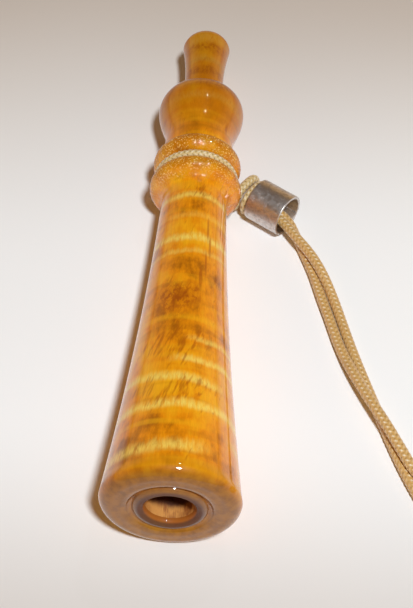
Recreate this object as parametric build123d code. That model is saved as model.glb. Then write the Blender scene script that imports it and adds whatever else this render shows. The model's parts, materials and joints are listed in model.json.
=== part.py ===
from build123d import *
import math
import os

# A turned wooden bird call lying on its side, with its lanyard.
# Y runs along the call from the bell (-Y) to the mouthpiece (+Y), X points right and Z up.
# The origin is the middle of the call's footprint, on the surface that it lies on.

# Bell and flared barrel
bell_radius = 17.15
bell_rim_depth = 2.7
bell_rim_reach = 3.85
bell_face_radius = 11.2
lip_bead = 1.7
lip_recess = 0.9
lip_recess_hollow = 0.2
bore_radius = 5.9
flare_length = 97.3
flare_hollow = 1.1
waist_radius = 9.3

# The two rings and the lanyard groove between them
near_ring_radius = 13.25
near_ring_bead = 2.4
near_ring_blend_deg = 70.0
far_ring_radius = 12.85
far_ring_half_width = 2.86
far_ring_height = 2.2
groove_radius = 9.8
groove_width = 4.1

# Mouthpiece
joint_gap = 0.15
collar_radius = 10.13
collar_length = 6.4
ball_radius = 12.89
ball_rise = 13.15
ball_dome = 7.24
neck_radius = 6.0
neck_cove = 1.2
neck_length = 6.05
knob_radius = 7.43
knob_flare_length = 16.4
knob_end_length = 3.4
knob_end_radius = 5.2
air_hole_radius = 2.6
chamber_radius = 6.2
chamber_depth = 20.0

# Tenon, socket and seals
socket_radius = 8.25
socket_depth = 15.0
tenon_clearance = 0.05
tenon_end_gap = 0.5
seal_section = 1.0
seal_clearance = 0.02
seal_groove_width = 1.4
seal_first = 3.5
seal_spacing = 6.0

# Tone board, reed and wedge in the barrel's throat
throat_radius = 6.1
insert_clearance = 0.05
base_length = 14.0
tongue_length = 30.0
tongue_radius = 5.2
tongue_flat = 0.6
tongue_tip_drop = 1.2
channel_width = 4.0
channel_depth = 3.2
channel_end_wall = 3.0
wedge_length = 7.8
reed_width = 8.0
reed_thickness = 0.25
reed_free_length = 28.0
reed_clearance = 0.12

# Leg band on the doubled cord
band_radius = 6.35
band_wall = 0.85
band_length = 11.2
band_edge = 0.15
band_seam = 0.25
band_seam_deg = -120.0
band_x = 22.5
band_y = 21.4
band_heading_deg = -34.5

# Lanyard cord, its loop in the groove and its two wraps beside the rings
cord_diameter = 2.8
cord_seat = 0.1
floor_gap = 0.05
loop_leave_deg = 11.0
loop_wrap_deg = 252.0
loop_drop = 8.0
loop_run = 4.8
wrap_half_length = 5.0
wrap_half_height = 3.4
wrap_pitch = 3.25
wrap_gap = 0.3
wrap_shift = 1.2
wrap_tail = 6.3

# Put-away coil and its tie
coil_x = 87.0
coil_y = -90.0
coil_radius = 20.0
coil_pitch = 3.25
coil_layer_turns = 3
coil_climb_step = 0.6
tie_width = 6.0
tie_thickness = 0.5
tie_clearance = 0.2

cord_radius = cord_diameter / 2

# Stations along the call's own axis, measured from the bell's end face
blend = math.radians(near_ring_blend_deg)
near_ring_base = near_ring_radius - near_ring_bead
blend_radius = near_ring_base + near_ring_bead * math.cos(blend)
cove_radius = (blend_radius - waist_radius) / (1 - math.cos(blend))
waist_at = bell_rim_depth + flare_length
near_ring_at = waist_at + (cove_radius + near_ring_bead) * math.sin(blend)
groove_from = near_ring_at + near_ring_bead
groove_at = groove_from + groove_width / 2
groove_to = groove_from + groove_width
far_ring_at = groove_to + far_ring_half_width
joint_at = far_ring_at + far_ring_half_width
socket_floor = joint_at - socket_depth
throat_floor = socket_floor - base_length
shoulder_at = joint_at + joint_gap
collar_end = shoulder_at + collar_length
ball_at = collar_end + ball_rise
ball_end = ball_at + ball_dome
neck_at = ball_end + neck_cove
flare_at = neck_at + neck_length
knob_at = flare_at + knob_flare_length
mouth_at = knob_at + knob_end_length
tenon_radius = socket_radius - tenon_clearance
tenon_end = socket_floor + tenon_end_gap
chamber_end = shoulder_at + chamber_depth


def turned(*edges):
    """Revolve a closed outline of (radius, station) edges about the call's axis."""
    return revolve(make_face(edges), Axis.Y)


def rod(radius, start, end):
    """A plain round bar on the call's axis between two stations."""
    return Pos(0, (start + end) / 2, 0) * Rot(90, 0, 0) * Cylinder(radius, end - start)


def block(width, start, end, bottom, top):
    """A square bar centred across the call's axis between two stations and two heights."""
    return Pos(0, (start + end) / 2, (bottom + top) / 2) * Box(width, end - start, top - bottom)


def make_barrel():
    """Bell with its lip bead, flare, rings and groove, bored through and socketed for the mouthpiece."""
    half = math.sqrt(0.5)
    rim = bell_radius - bell_rim_reach
    rim_middle = (rim + bell_rim_reach * half, bell_rim_depth * (1 - half))
    lip_centre = bore_radius + lip_bead
    lip_foot = lip_centre + math.sqrt(lip_bead**2 - (lip_bead - lip_recess) ** 2)
    recess_middle = ((lip_foot + bell_face_radius) / 2, lip_recess / 2 + lip_recess_hollow)
    blend_at = near_ring_at - near_ring_bead * math.sin(blend)
    cove_middle = (
        waist_radius + cove_radius * (1 - math.cos(blend / 2)),
        waist_at + cove_radius * math.sin(blend / 2),
    )
    far_ring_base = far_ring_radius - far_ring_height
    lip = ThreePointArc((bore_radius, lip_bead), (lip_centre, 0), (lip_foot, lip_recess))
    recess = ThreePointArc(lip @ 1, recess_middle, (bell_face_radius, 0))
    face = Line(recess @ 1, (rim, 0))
    edge = ThreePointArc(face @ 1, rim_middle, (bell_radius, bell_rim_depth))
    flare = SagittaArc(edge @ 1, (waist_radius, waist_at), flare_hollow)
    cove = ThreePointArc(flare @ 1, cove_middle, (blend_radius, blend_at))
    near_ring = ThreePointArc(cove @ 1, (near_ring_radius, near_ring_at), (near_ring_base, groove_from))
    groove = Polyline(
        near_ring @ 1, (groove_radius, groove_from), (groove_radius, groove_to), (far_ring_base, groove_to)
    )
    far_ring = ThreePointArc(groove @ 1, (far_ring_radius, far_ring_at), (far_ring_base, joint_at))
    inside = Polyline(
        far_ring @ 1,
        (socket_radius, joint_at),
        (socket_radius, socket_floor),
        (throat_radius, socket_floor),
        (throat_radius, throat_floor),
        (bore_radius, throat_floor),
        lip @ 0,
    )
    return turned(lip, recess, face, edge, flare, cove, near_ring, groove, far_ring, inside)


def seal_stations():
    """The middle of each seal's groove on the tenon."""
    first = tenon_end + seal_first
    return [first, first + seal_spacing]


def make_mouthpiece():
    """Tenon, collar, ball, neck and knob, with the reed's chamber and the air hole."""
    half = math.sqrt(0.5)
    cove_middle = (neck_radius + neck_cove * (1 - half), ball_end + neck_cove * (1 - half))
    knob_middle = ((knob_radius * 2 + knob_end_radius) / 3, knob_at + knob_end_length * 0.6)
    tenon = Polyline(
        (chamber_radius, tenon_end),
        (tenon_radius, tenon_end),
        (tenon_radius, shoulder_at),
        (collar_radius, shoulder_at),
        (collar_radius, collar_end),
    )
    rise = Spline(tenon @ 1, (ball_radius, ball_at), tangents=((0, 1), (0, 1)))
    ball = TangentArc(rise @ 1, (neck_radius + neck_cove, ball_end), tangent=(0, 1))
    cove = ThreePointArc(ball @ 1, cove_middle, (neck_radius, neck_at))
    neck = Line(cove @ 1, (neck_radius, flare_at))
    knob = TangentArc(neck @ 1, (knob_radius, knob_at), tangent=(0, 1))
    end = ThreePointArc(knob @ 1, knob_middle, (knob_end_radius, mouth_at))
    inside = Polyline(
        end @ 1,
        (air_hole_radius, mouth_at),
        (air_hole_radius, chamber_end + chamber_radius - air_hole_radius),
        (chamber_radius, chamber_end),
        tenon @ 0,
    )
    body = turned(tenon, rise, ball, cove, neck, knob, end, inside)
    for station in seal_stations():
        start = station - seal_groove_width / 2
        end = station + seal_groove_width / 2
        body -= rod(socket_radius, start, end) - rod(tenon_radius - seal_section, start, end)
    return body


def make_seal(station):
    """One rubber ring, seated on its groove's floor and just inside the socket's wall."""
    section = (seal_section + tenon_clearance) / 2 - seal_clearance
    middle = (socket_radius + tenon_radius - seal_section) / 2
    return Pos(0, station, 0) * Rot(90, 0, 0) * Torus(middle, section)


# The reed lies on the tongue's flat, clamped by the wedge inside the barrel's throat
insert_radius = throat_radius - insert_clearance
notch_at = socket_floor - wedge_length
tongue_tip = socket_floor + tongue_length
reed_bottom = tongue_flat + reed_clearance
reed_top = reed_bottom + reed_thickness
reed_end = socket_floor + reed_free_length
reed_pivot_at = notch_at + wedge_length / 2
reed_pivot_height = (reed_bottom + reed_top) / 2


def make_tone_board():
    """Round plug with a tongue whose flat curves away under the reed, and a sound channel."""
    floor = tongue_flat - channel_depth
    over = insert_radius * 2
    base = rod(insert_radius, throat_floor + insert_clearance, socket_floor)
    tongue = rod(tongue_radius, socket_floor, tongue_tip)
    board = base + tongue - block(over, notch_at, tongue_tip, tongue_flat, over)
    face = TangentArc((socket_floor, tongue_flat), (tongue_tip, tongue_flat - tongue_tip_drop), tangent=(1, 0))
    above = Polyline(face @ 1, (tongue_tip, over), (socket_floor, over), face @ 0)
    board -= extrude(Plane.YZ * make_face([face, above]), over, both=True)
    board -= rod(channel_width / 2, throat_floor, notch_at)
    return board - block(channel_width, notch_at, tongue_tip - channel_end_wall, floor, over)


def make_reed():
    """A thin strip from the notch to near the tongue's tip."""
    return block(reed_width, notch_at + reed_clearance, reed_end, reed_bottom, reed_top)


def make_wedge():
    """A cork segment that fills the notch above the reed."""
    bottom = reed_top + reed_clearance
    cork = rod(insert_radius, notch_at + reed_clearance, socket_floor)
    return cork & block(insert_radius * 2, notch_at, socket_floor, bottom, insert_radius * 2)


def corner_radii(points):
    """Each corner's arc is as large as its two runs allow."""
    radii = []
    for before, corner, after in zip(points, points[1:], points[2:]):
        turn = math.radians((corner - before).get_angle(after - corner))
        run = min((corner - before).length, (after - corner).length)
        radii.append(0.45 * run / math.tan(turn / 2))
    return radii


def tube(path):
    """The cord's round section carried along a path."""
    return sweep(Plane(path @ 0, z_dir=path % 0) * Circle(cord_radius), path=path)


def cord_run(name, points):
    """A tube of straight runs and tangent arcs, with its radii and volume printed for checking."""
    points = [Vector(*point) for point in points]
    radii = corner_radii(points)
    path = FilletPolyline(*points, radius=radii)
    solid = tube(path)
    share = solid.volume / (math.pi * cord_radius**2 * path.length)
    print(name, "radii", [round(radius, 1) for radius in radii], "length", round(path.length, 1), "volume", round(share, 4))
    return solid


def by_band(along, across, height):
    """A point placed along and across the leg band's axis, at a height above the surface."""
    heading = math.radians(band_heading_deg)
    x = band_x + along * math.cos(heading) - across * math.sin(heading)
    y = band_y + along * math.sin(heading) + across * math.cos(heading)
    return (x, y, height)


def make_band():
    """A plain ring, bent round until its two ends meet in a narrow seam."""
    axis = Vector(*by_band(1, 0, 0)) - Vector(*by_band(0, 0, 0))
    plane = Plane(by_band(0, 0, band_radius + floor_gap), x_dir=(0, 0, 1), z_dir=axis)
    ring = Cylinder(band_radius, band_length) - Cylinder(band_radius - band_wall, band_length)
    ring = chamfer(ring.edges().filter_by(GeomType.CIRCLE), band_edge)
    seam = Rot(0, 0, band_seam_deg) * Pos(band_radius, 0, 0) * Box(band_wall * 4, band_seam, band_length)
    return plane * (ring - seam)


def loop_path(lay):
    """The cord's line round the groove, with both ends running off towards the wraps."""
    radius = groove_radius + cord_seat + cord_radius
    leave = math.radians(loop_leave_deg)
    start = (radius * math.cos(leave), radius * math.sin(leave))
    down = (math.sin(leave), -math.cos(leave))
    drop = Line((start[0] + down[0] * loop_drop, start[1] + down[1] * loop_drop), start)
    round_groove = JernArc(drop @ 1, drop % 1, radius, loop_wrap_deg)
    run = Line(round_groove @ 1, round_groove @ 1 + (round_groove % 1) * loop_run)
    plane = Plane((0, groove_at, 0), x_dir=(1, 0, 0), z_dir=(0, -1, 0))
    return lay * (plane * Wire([drop, round_groove, run]))


def wrap_points(start):
    """Two upright turns beside the leg band, each stepping on along the bottom, and a cut tail."""
    second = -band_length / 2 - wrap_gap - cord_radius
    near = wrap_shift - wrap_half_length
    far = wrap_shift + wrap_half_length
    bottom = floor_gap + cord_radius
    top = bottom + wrap_half_height * 2
    points = [start]
    for along in (second - wrap_pitch, second):
        points += [by_band(along, near, bottom), by_band(along, near, top)]
        points += [by_band(along, far, top), by_band(along, far, bottom)]
    points[-1] = by_band(second, far, top - wrap_tail)
    return points


# The coil lies on its tie
coil_low = floor_gap + tie_thickness + tie_clearance + cord_radius
coil_high = coil_low + coil_pitch
coil_inner = coil_radius - coil_layer_turns * coil_pitch - coil_climb_step


def half_turn(side, start_radius, end_radius, start_height, end_height):
    """Half a turn from one side of the coil to the other, anticlockwise; side is -1 at the left."""
    start = Vector(coil_x + side * start_radius, coil_y, start_height)
    end = Vector(coil_x - side * end_radius, coil_y, end_height)
    middle = (start + end) / 2 + Vector(0, side * (end - start).length / 2, 0)
    return ThreePointArc(start, middle, end)


def coil_path():
    """Turns that spiral in below, climb in the half turn at the middle and spiral out above."""
    step = coil_pitch / 2
    radii = [coil_radius - k * step for k in range(coil_layer_turns * 2)] + [coil_inner]
    start = Vector(coil_x - coil_radius, coil_y, coil_low)
    turns = [Line(start + Vector(0, cord_diameter, 0), start)]
    side = -1
    for outer, inner in zip(radii, radii[1:]):
        turns.append(half_turn(side, outer, inner, coil_low, coil_low))
        side = -side
    turns.append(half_turn(side, coil_inner, coil_inner, coil_low, coil_high))
    side = -side
    for inner, outer in zip(radii[::-1], radii[-2::-1]):
        turns.append(half_turn(side, inner, outer, coil_high, coil_high))
        side = -side
    last = coil_radius + step / 2
    middle = Vector(coil_x - step / 2, coil_y, coil_high)
    bend = middle + Vector(last * math.sqrt(0.5), last * math.sqrt(0.5), 0)
    turns.append(ThreePointArc(turns[-1] @ 1, bend, middle + Vector(0, last, 0)))
    turns.append(Line(turns[-1] @ 1, turns[-1] @ 1 - Vector(cord_diameter, 0, 0)))
    return Wire(turns)


def least_self_gap(path):
    """The least clear space between stretches of one cord that are not neighbours on it."""
    count = 700
    points = [path @ (k / count) for k in range(count + 1)]
    apart = int(cord_diameter * 2.5 / path.length * count)
    least = min((a - b).length for k, a in enumerate(points) for b in points[k + apart :])
    return least - cord_diameter


def make_tie():
    """A cloth strap round the coil's bundle, at its right-hand side."""
    inner = math.sqrt((coil_inner - cord_radius) ** 2 - (tie_width / 2) ** 2) - tie_clearance
    outer = coil_radius + cord_radius + tie_clearance
    width = outer - inner
    height = coil_pitch + cord_diameter + tie_clearance * 2
    corner = cord_radius
    hole = RectangleRounded(width, height, corner)
    strap = RectangleRounded(width + tie_thickness * 2, height + tie_thickness * 2, corner + tie_thickness)
    plane = Plane(
        (coil_x + (inner + outer) / 2, coil_y, (coil_low + coil_high) / 2), x_dir=(1, 0, 0), z_dir=(0, -1, 0)
    )
    return extrude(plane * (strap - hole), tie_width / 2, both=True)


# Lay the call down on its bell and its ball, with the middle of its footprint at the origin
tilt_deg = math.degrees(math.atan2(bell_radius - ball_radius, ball_at - bell_rim_depth))
upright = {"barrel": make_barrel(), "mouthpiece": make_mouthpiece()}
tipped = [(Rot(-tilt_deg, 0, 0) * solid).bounding_box() for solid in upright.values()]
back = max(box.max.Y for box in tipped)
front = min(box.min.Y for box in tipped)
lowest = min(box.min.Z for box in tipped)
lay = Pos(0, -(front + back) / 2, -lowest) * Rot(-tilt_deg, 0, 0)

upright["tone_board"] = make_tone_board()
upright["reed"] = make_reed()
upright["reed_wedge"] = make_wedge()
for name, station in zip(("rear_o_ring", "front_o_ring"), seal_stations()):
    upright[name] = make_seal(station)
parts = {name: lay * solid for name, solid in upright.items()}

loop = loop_path(lay)
coil = coil_path()
parts["groove_loop"] = tube(loop)
parts["lanyard_knot"] = cord_run("lanyard_knot", wrap_points(tuple(loop @ 1)))
parts["leg_band"] = make_band()

# The strands' lines are chosen by hand: out of the wraps, through the band and over the surface
strand_out_points = [
    by_band(-9.0, -0.4, 4.8),
    by_band(-2.3, -0.9, 4.6),
    by_band(4.9, -1.1, 4.35),
    (29.4, 12.3, 4.45),
    (33.6, 6.4, 4.45),
    (36.9, 0.2, 4.2),
    (39.5, -6.0, 2.75),
    (42.2, -14.4, 1.5),
    (45.2, -25.4, 1.45),
    (49.4, -38.2, 1.45),
    (54.1, -52.0, 1.45),
    (58.6, -64.4, 1.45),
    (64.0, -75.6, 1.7),
    (67.0, -82.6, 2.15),
    tuple(coil @ 0),
]
strand_back_points = [
    by_band(-9.0, 2.7, 4.7),
    by_band(-2.3, 2.1, 3.5),
    by_band(5.2, 1.5, 2.7),
    (29.9, 14.4, 1.55),
    (32.4, 7.9, 1.45),
    (34.9, 0.6, 1.45),
    (37.0, -7.9, 1.45),
    (39.2, -15.8, 1.45),
    (41.9, -26.2, 1.5),
    (45.2, -35.8, 2.75),
    (49.3, -44.2, 3.8),
    (53.0, -50.6, 4.6),
    (56.6, -57.2, 4.6),
    (59.8, -63.6, 4.2),
    (63.4, -67.3, 4.0),
    (68.2, -69.1, 4.4),
    (74.6, -69.3, 5.0),
    (78.8, -69.19, 5.4),
    tuple(coil @ 1),
]
parts["strand_out"] = cord_run("strand_out", strand_out_points)
parts["strand_back"] = cord_run("strand_back", strand_back_points)
parts["lanyard_coil"] = tube(coil)
parts["coil_tie"] = make_tie()
print("groove_loop length", round(loop.length, 1), "coil length", round(coil.length, 1))
print("coil self gap", round(least_self_gap(coil), 2))

os.makedirs("parts", exist_ok=True)
for name, solid in parts.items():
    export_step(solid, f"parts/{name}.step")
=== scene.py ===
"""Dresses the packed bird call: turned wood, leg band, braided lanyard and a plain stage."""

import json
import math
from types import SimpleNamespace

import bmesh
import bpy
import numpy as np
from mathutils import Matrix, Vector


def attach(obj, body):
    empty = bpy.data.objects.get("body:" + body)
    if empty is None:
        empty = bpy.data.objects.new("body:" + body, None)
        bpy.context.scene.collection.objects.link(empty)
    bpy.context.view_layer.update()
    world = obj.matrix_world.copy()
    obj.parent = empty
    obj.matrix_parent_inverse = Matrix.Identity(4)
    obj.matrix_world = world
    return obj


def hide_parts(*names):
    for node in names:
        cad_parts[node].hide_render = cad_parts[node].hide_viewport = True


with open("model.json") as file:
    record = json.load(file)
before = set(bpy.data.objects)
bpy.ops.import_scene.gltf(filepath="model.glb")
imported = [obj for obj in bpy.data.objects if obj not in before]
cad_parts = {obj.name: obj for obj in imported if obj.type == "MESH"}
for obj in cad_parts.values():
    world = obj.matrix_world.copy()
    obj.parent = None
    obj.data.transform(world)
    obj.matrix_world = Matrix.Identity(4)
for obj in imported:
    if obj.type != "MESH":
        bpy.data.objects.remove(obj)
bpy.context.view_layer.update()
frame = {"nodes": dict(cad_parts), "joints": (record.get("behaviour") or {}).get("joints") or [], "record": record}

bl_info = {
    "name": "Turned bird call",
    "version": (1, 0, 0),
    "blender": (4, 5, 0),
    "location": "View3D > Sidebar > Bird Call",
    "description": "Builds a lacquered wooden bird call with its leg band and braided lanyard",
    "category": "Add Mesh",
}

# Finish of each run of an outline, which is also its material slot
FINISHED = 0
BARE = 1
# Cosine of 45 degrees, and how far the middle of a quarter round lies from its corner, for a radius of 1
DIAGONAL = math.sqrt(0.5)
CORNER = 1 - DIAGONAL


def paint(red, green, blue):
    """A screen colour, 0 to 255, as the linear colour that a shader takes."""
    channels = [value / 255 for value in (red, green, blue)]
    linear = [c / 12.92 if c <= 0.04045 else ((c + 0.055) / 1.055) ** 2.4 for c in channels]
    return (*linear, 1.0)


def length(name, description, millimetres):
    """A length property with its default given in millimetres."""
    return bpy.props.FloatProperty(
        name=name,
        description=description,
        default=millimetres / 1000,
        subtype="DISTANCE",
        unit="LENGTH",
        precision=5,
    )


def angle(name, description, degrees):
    """An angle property with its default given in degrees."""
    return bpy.props.FloatProperty(
        name=name,
        description=description,
        default=math.radians(degrees),
        subtype="ANGLE",
        unit="ROTATION",
    )


def colour(name, description, red, green, blue):
    """A colour property with its default given as a screen colour."""
    return bpy.props.FloatVectorProperty(
        name=name,
        description=description,
        default=paint(red, green, blue),
        subtype="COLOR",
        size=4,
        min=0,
        max=1,
    )


def count(name, description, default, least):
    """A whole-number property with its least value."""
    return bpy.props.IntProperty(name=name, description=description, default=default, min=least)


def place(name, description, x, y, z):
    """A place property with its default given in metres."""
    return bpy.props.FloatVectorProperty(
        name=name, description=description, default=(x, y, z), subtype="TRANSLATION"
    )


def power(name, description, watts):
    """A lamp's power property."""
    return bpy.props.FloatProperty(name=name, description=description, default=watts, unit="POWER")


class CallSizes(bpy.types.PropertyGroup):
    """Sizes of the turned barrel and mouthpiece"""

    bell_radius: length("Bell radius", "Radius of the bell at its widest", 17.15)
    bell_rim_depth: length("Bell rim depth", "How far the rim's round reaches along the call", 2.7)
    bell_rim_reach: length("Bell rim reach", "How far the rim's round reaches across the end face", 3.85)
    bell_face_radius: length("Bell face radius", "Inner radius of the end face's flat ring", 11.2)
    lip_bead: length("Lip bead", "Radius of the bead round the bore", 1.7)
    lip_recess: length("Lip recess", "Depth of the hollow between bead and flat ring", 1.2)
    lip_recess_hollow: length("Lip recess hollow", "How far that hollow sinks below a straight slope", 0.1)
    recess_edge: length("Recess edge", "Softened edge of that hollow", 0.8)
    bore_radius: length("Bore radius", "Radius of the sound bore", 5.9)
    flare_length: length("Flare length", "Length of the flare from the bell to the waist", 97.3)
    flare_hollow: length("Flare hollow", "Depth of the flare's hollow line", 1.1)
    waist_radius: length("Waist radius", "Radius at the thin end of the flare", 9.3)
    near_ring_radius: length("Near ring radius", "Radius of the ring next to the flare", 13.25)
    near_ring_bead: length("Near ring bead", "Radius of that ring's bead", 2.4)
    near_ring_blend: angle("Near ring blend", "Turn of the cove that runs into the bead", 70)
    far_ring_radius: length("Far ring radius", "Radius of the ring at the joint", 12.85)
    far_ring_half_width: length("Far ring half width", "Half the width of that ring", 2.86)
    far_ring_height: length("Far ring height", "Height of that ring's bow", 2.2)
    groove_radius: length("Groove radius", "Radius at the floor of the lanyard groove", 9.8)
    groove_width: length("Groove width", "Width of the lanyard groove", 4.1)
    joint_gap: length("Joint gap", "Space between barrel and mouthpiece", 0.15)
    collar_radius: length("Collar radius", "Radius of the mouthpiece's collar", 10.13)
    collar_length: length("Collar length", "Length of the collar", 6.4)
    ball_radius: length("Ball radius", "Radius of the mouthpiece's ball", 12.89)
    ball_rise: length("Ball rise", "Length from the collar to the ball's widest", 13.15)
    ball_dome: length("Ball dome", "Length from the ball's widest to the neck's cove", 7.24)
    neck_radius: length("Neck radius", "Radius of the neck", 6.0)
    neck_cove: length("Neck cove", "Cove between ball and neck", 1.2)
    neck_length: length("Neck length", "Straight length of the neck", 6.05)
    knob_radius: length("Knob radius", "Radius of the knob at the mouth", 7.43)
    knob_flare_length: length("Knob flare length", "Length of the knob's flare", 16.4)
    knob_end_length: length("Knob end length", "Length of the knob's rounded end", 3.4)
    knob_end_radius: length("Knob end radius", "Radius of the flat at the mouth", 5.2)
    air_hole_radius: length("Air hole radius", "Radius of the air hole", 2.6)
    chamber_radius: length("Chamber radius", "Radius of the reed's chamber", 6.2)
    chamber_depth: length("Chamber depth", "Depth of the chamber beyond the shoulder", 20)
    socket_radius: length("Socket radius", "Radius of the barrel's socket", 8.25)
    socket_depth: length("Socket depth", "Depth of the socket", 15)
    tenon_clearance: length("Tenon clearance", "Space round the tenon", 0.05)
    tenon_end_gap: length("Tenon end gap", "Space at the tenon's end", 0.5)
    seal_section: length("Seal section", "Depth of each seal's groove", 1.0)
    seal_groove_width: length("Seal groove width", "Width of each seal's groove", 1.4)
    seal_first: length("First seal", "First seal's distance from the tenon's end", 3.5)
    seal_spacing: length("Seal spacing", "Distance between the two seals", 6)
    throat_radius: length("Throat radius", "Radius of the throat that holds the tone board", 6.1)
    throat_depth: length("Throat depth", "Depth of the throat", 14)
    edge_break: length("Edge break", "Softened corner on turned edges", 0.22)
    pebble_reach: length("Pebble reach", "How far the pebbling reaches from the near ring to the flare", 3.6)
    near_pebbles: length("Near ring pebbles", "Depth of the near ring's pebbling", 0.11)
    far_pebbles: length("Far ring pebbles", "Depth of the far ring's pebbling", 0.14)
    around: count("Segments", "Segments round the turned pieces", 320, 48)


class LanyardSizes(bpy.types.PropertyGroup):
    """Sizes of the leg band, the braided cord, its coil and its tie"""

    band_radius: length("Band radius", "Outer radius of the leg band", 6.35)
    band_wall: length("Band wall", "Wall of the leg band", 0.85)
    band_length: length("Band length", "Length of the leg band", 11.2)
    band_edge: length("Band edge", "Softened edge of the leg band", 0.18)
    band_seam: length("Band seam", "Gap where the band's ends meet", 0.25)
    band_dent: length("Band dent", "Depth of the band's slight dents", 0.03)
    band_wave: length("Band wave", "Depth of the band's fine unevenness", 0.01)
    band_seam_turn: angle("Band seam turn", "Where the seam is, from the top", -120)
    band_x: length("Band X", "Middle of the band across the call", 22.5)
    band_y: length("Band Y", "Middle of the band along the call", 21.4)
    band_heading: angle("Band heading", "Direction of the band's axis", -34.5)
    floor_gap: length("Floor gap", "Space under what lies on the surface", 0.05)
    cord_diameter: length("Cord diameter", "Diameter of the braided cord", 2.8)
    crest_diameter: length("Crest diameter", "Diameter over the braid's crests", 3.0)
    loop_diameter: length("Loop diameter", "Diameter of the cord where it is drawn tight in the groove", 2.45)
    cord_length: length("Cord length", "Length of the neck loop from wrap to wrap", 893)
    cord_seat: length("Cord seat", "Space under the cord in its groove", 0.1)
    relief: length("Braid relief", "Depth between the braid's yarns", 0.28)
    pick_length: length("Pick length", "Length of one pick along the cord", 1.5)
    carriers: count("Carriers", "Yarns in each direction of the braid", 4, 2)
    sides: count("Sides", "Sides of the cord's mesh", 24, 8)
    loop_shift: length("Loop shift", "How far the loop lies towards the bell in its groove", 0.55)
    loop_leave: angle("Loop leave", "Where the cord leaves the groove", 11)
    loop_wrap: angle("Loop wrap", "How far the cord goes round the groove", 252)
    loop_drop: length("Loop drop", "Straight length into the wraps", 8.0)
    loop_run: length("Loop run", "Straight length out of the groove", 4.8)
    wrap_half_length: length("Wrap half length", "Half the length of each wrap", 5.0)
    wrap_half_height: length("Wrap half height", "Half the height of each wrap", 3.4)
    wrap_pitch: length("Wrap pitch", "Distance between the two wraps", 3.25)
    wrap_gap: length("Wrap gap", "Space between wrap and band", 0.3)
    wrap_shift: length("Wrap shift", "Middle of the wraps across the band's axis", 1.2)
    wrap_tail: length("Wrap tail", "Drop of the cut tail", 6.3)
    coil_x: length("Coil X", "Middle of the coil across the call", 87)
    coil_y: length("Coil Y", "Middle of the coil along the call", -90)
    coil_radius: length("Coil radius", "Radius of the outer turn", 20)
    coil_pitch: length("Coil pitch", "Distance between turns", 3.25)
    coil_climb_step: length("Coil climb step", "Extra step in to the turn that climbs", 0.6)
    coil_turns: count("Coil turns", "Turns in each layer", 3, 1)
    tie_width: length("Tie width", "Width of the coil's tie", 6)
    tie_thickness: length("Tie thickness", "Thickness of the coil's tie", 0.5)
    tie_clearance: length("Tie clearance", "Space under the tie", 0.2)


class CallFinishes(bpy.types.PropertyGroup):
    """Colours of the call's pieces"""

    amber: colour("Amber", "Main colour of the lacquered wood", 238, 144, 6)
    honey: colour("Honey", "Lighter wood", 250, 180, 24)
    umber: colour("Umber", "Darker wood", 156, 88, 3)
    end_grain: colour("End grain", "End face of the bell", 148, 96, 20)
    end_grain_dark: colour("Dark end grain", "Darker wood of that face", 126, 80, 20)
    # Painted glints: bright specks standing for light sparkling off the pebbled lacquer of the rings
    ring_painted_glint: colour("Speckle", "Bright specks of the pebbled rings", 250, 206, 122)
    # The next two colours are partly painted reflection: a purple-grey cast on the darker bead, and a greyish ring
    # on the hollow for a pale reflection
    lip: colour("Lip", "Bead round the bell's hole", 74, 46, 42)
    recess_painted_reflection: colour("Recess", "Hollow round that bead", 118, 86, 62)
    # Painted shade: the bore's wood darkened far inside, where light does not reach
    bore_painted_shade: colour("Bore", "Wood far inside the bore", 92, 48, 24)
    russet: colour("Russet", "Reddish patches", 160, 74, 10)
    curl: colour("Curl", "Bright curl across the grain", 250, 214, 96)
    fleck: colour("Fleck", "Dark flecks along the grain", 164, 80, 6)
    bare_wood: colour("Bare wood", "Unfinished wood inside", 212, 146, 72)
    bare_wood_dark: colour("Bare wood grain", "Grain of the unfinished wood", 150, 84, 36)
    yarn: colour("Yarn", "Lanyard yarn", 216, 170, 97)
    # Painted highlight on the yarn's crests. Below it is painted shade for the braid's gaps, which also darkens
    # fine filaments and uneven patches.
    yarn_painted_highlight: colour("Yarn light", "Crests of the yarn", 255, 246, 220)
    yarn_shade_and_tone: colour("Yarn dark", "Gaps of the braid", 154, 110, 54)
    # The groove loop and wraps are the same yarn. It is painted paler for the brighter light on them, with painted
    # shade in its gaps.
    loop_yarn_painted_lighter: colour("Loop yarn", "Paler yarn round the groove", 220, 190, 128)
    loop_yarn_shade_and_tone: colour("Loop yarn dark", "Gaps of that yarn", 124, 94, 48)
    metal: colour("Metal", "Leg band", 212, 206, 202)
    metal_worn: colour("Worn metal", "Dulled patches of the leg band", 168, 160, 156)
    metal_scratch: colour("Scratched metal", "Bright scratches of the leg band", 226, 222, 220)
    rubber: colour("Rubber", "Seals", 30, 29, 31)
    plastic: colour("Insert", "Tone board", 40, 34, 30)
    film: colour("Reed film", "Reed", 222, 220, 208)
    cork: colour("Cork", "Reed wedge", 190, 140, 88)
    cloth: colour("Tie cloth", "Coil's tie", 86, 74, 58)


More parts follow.
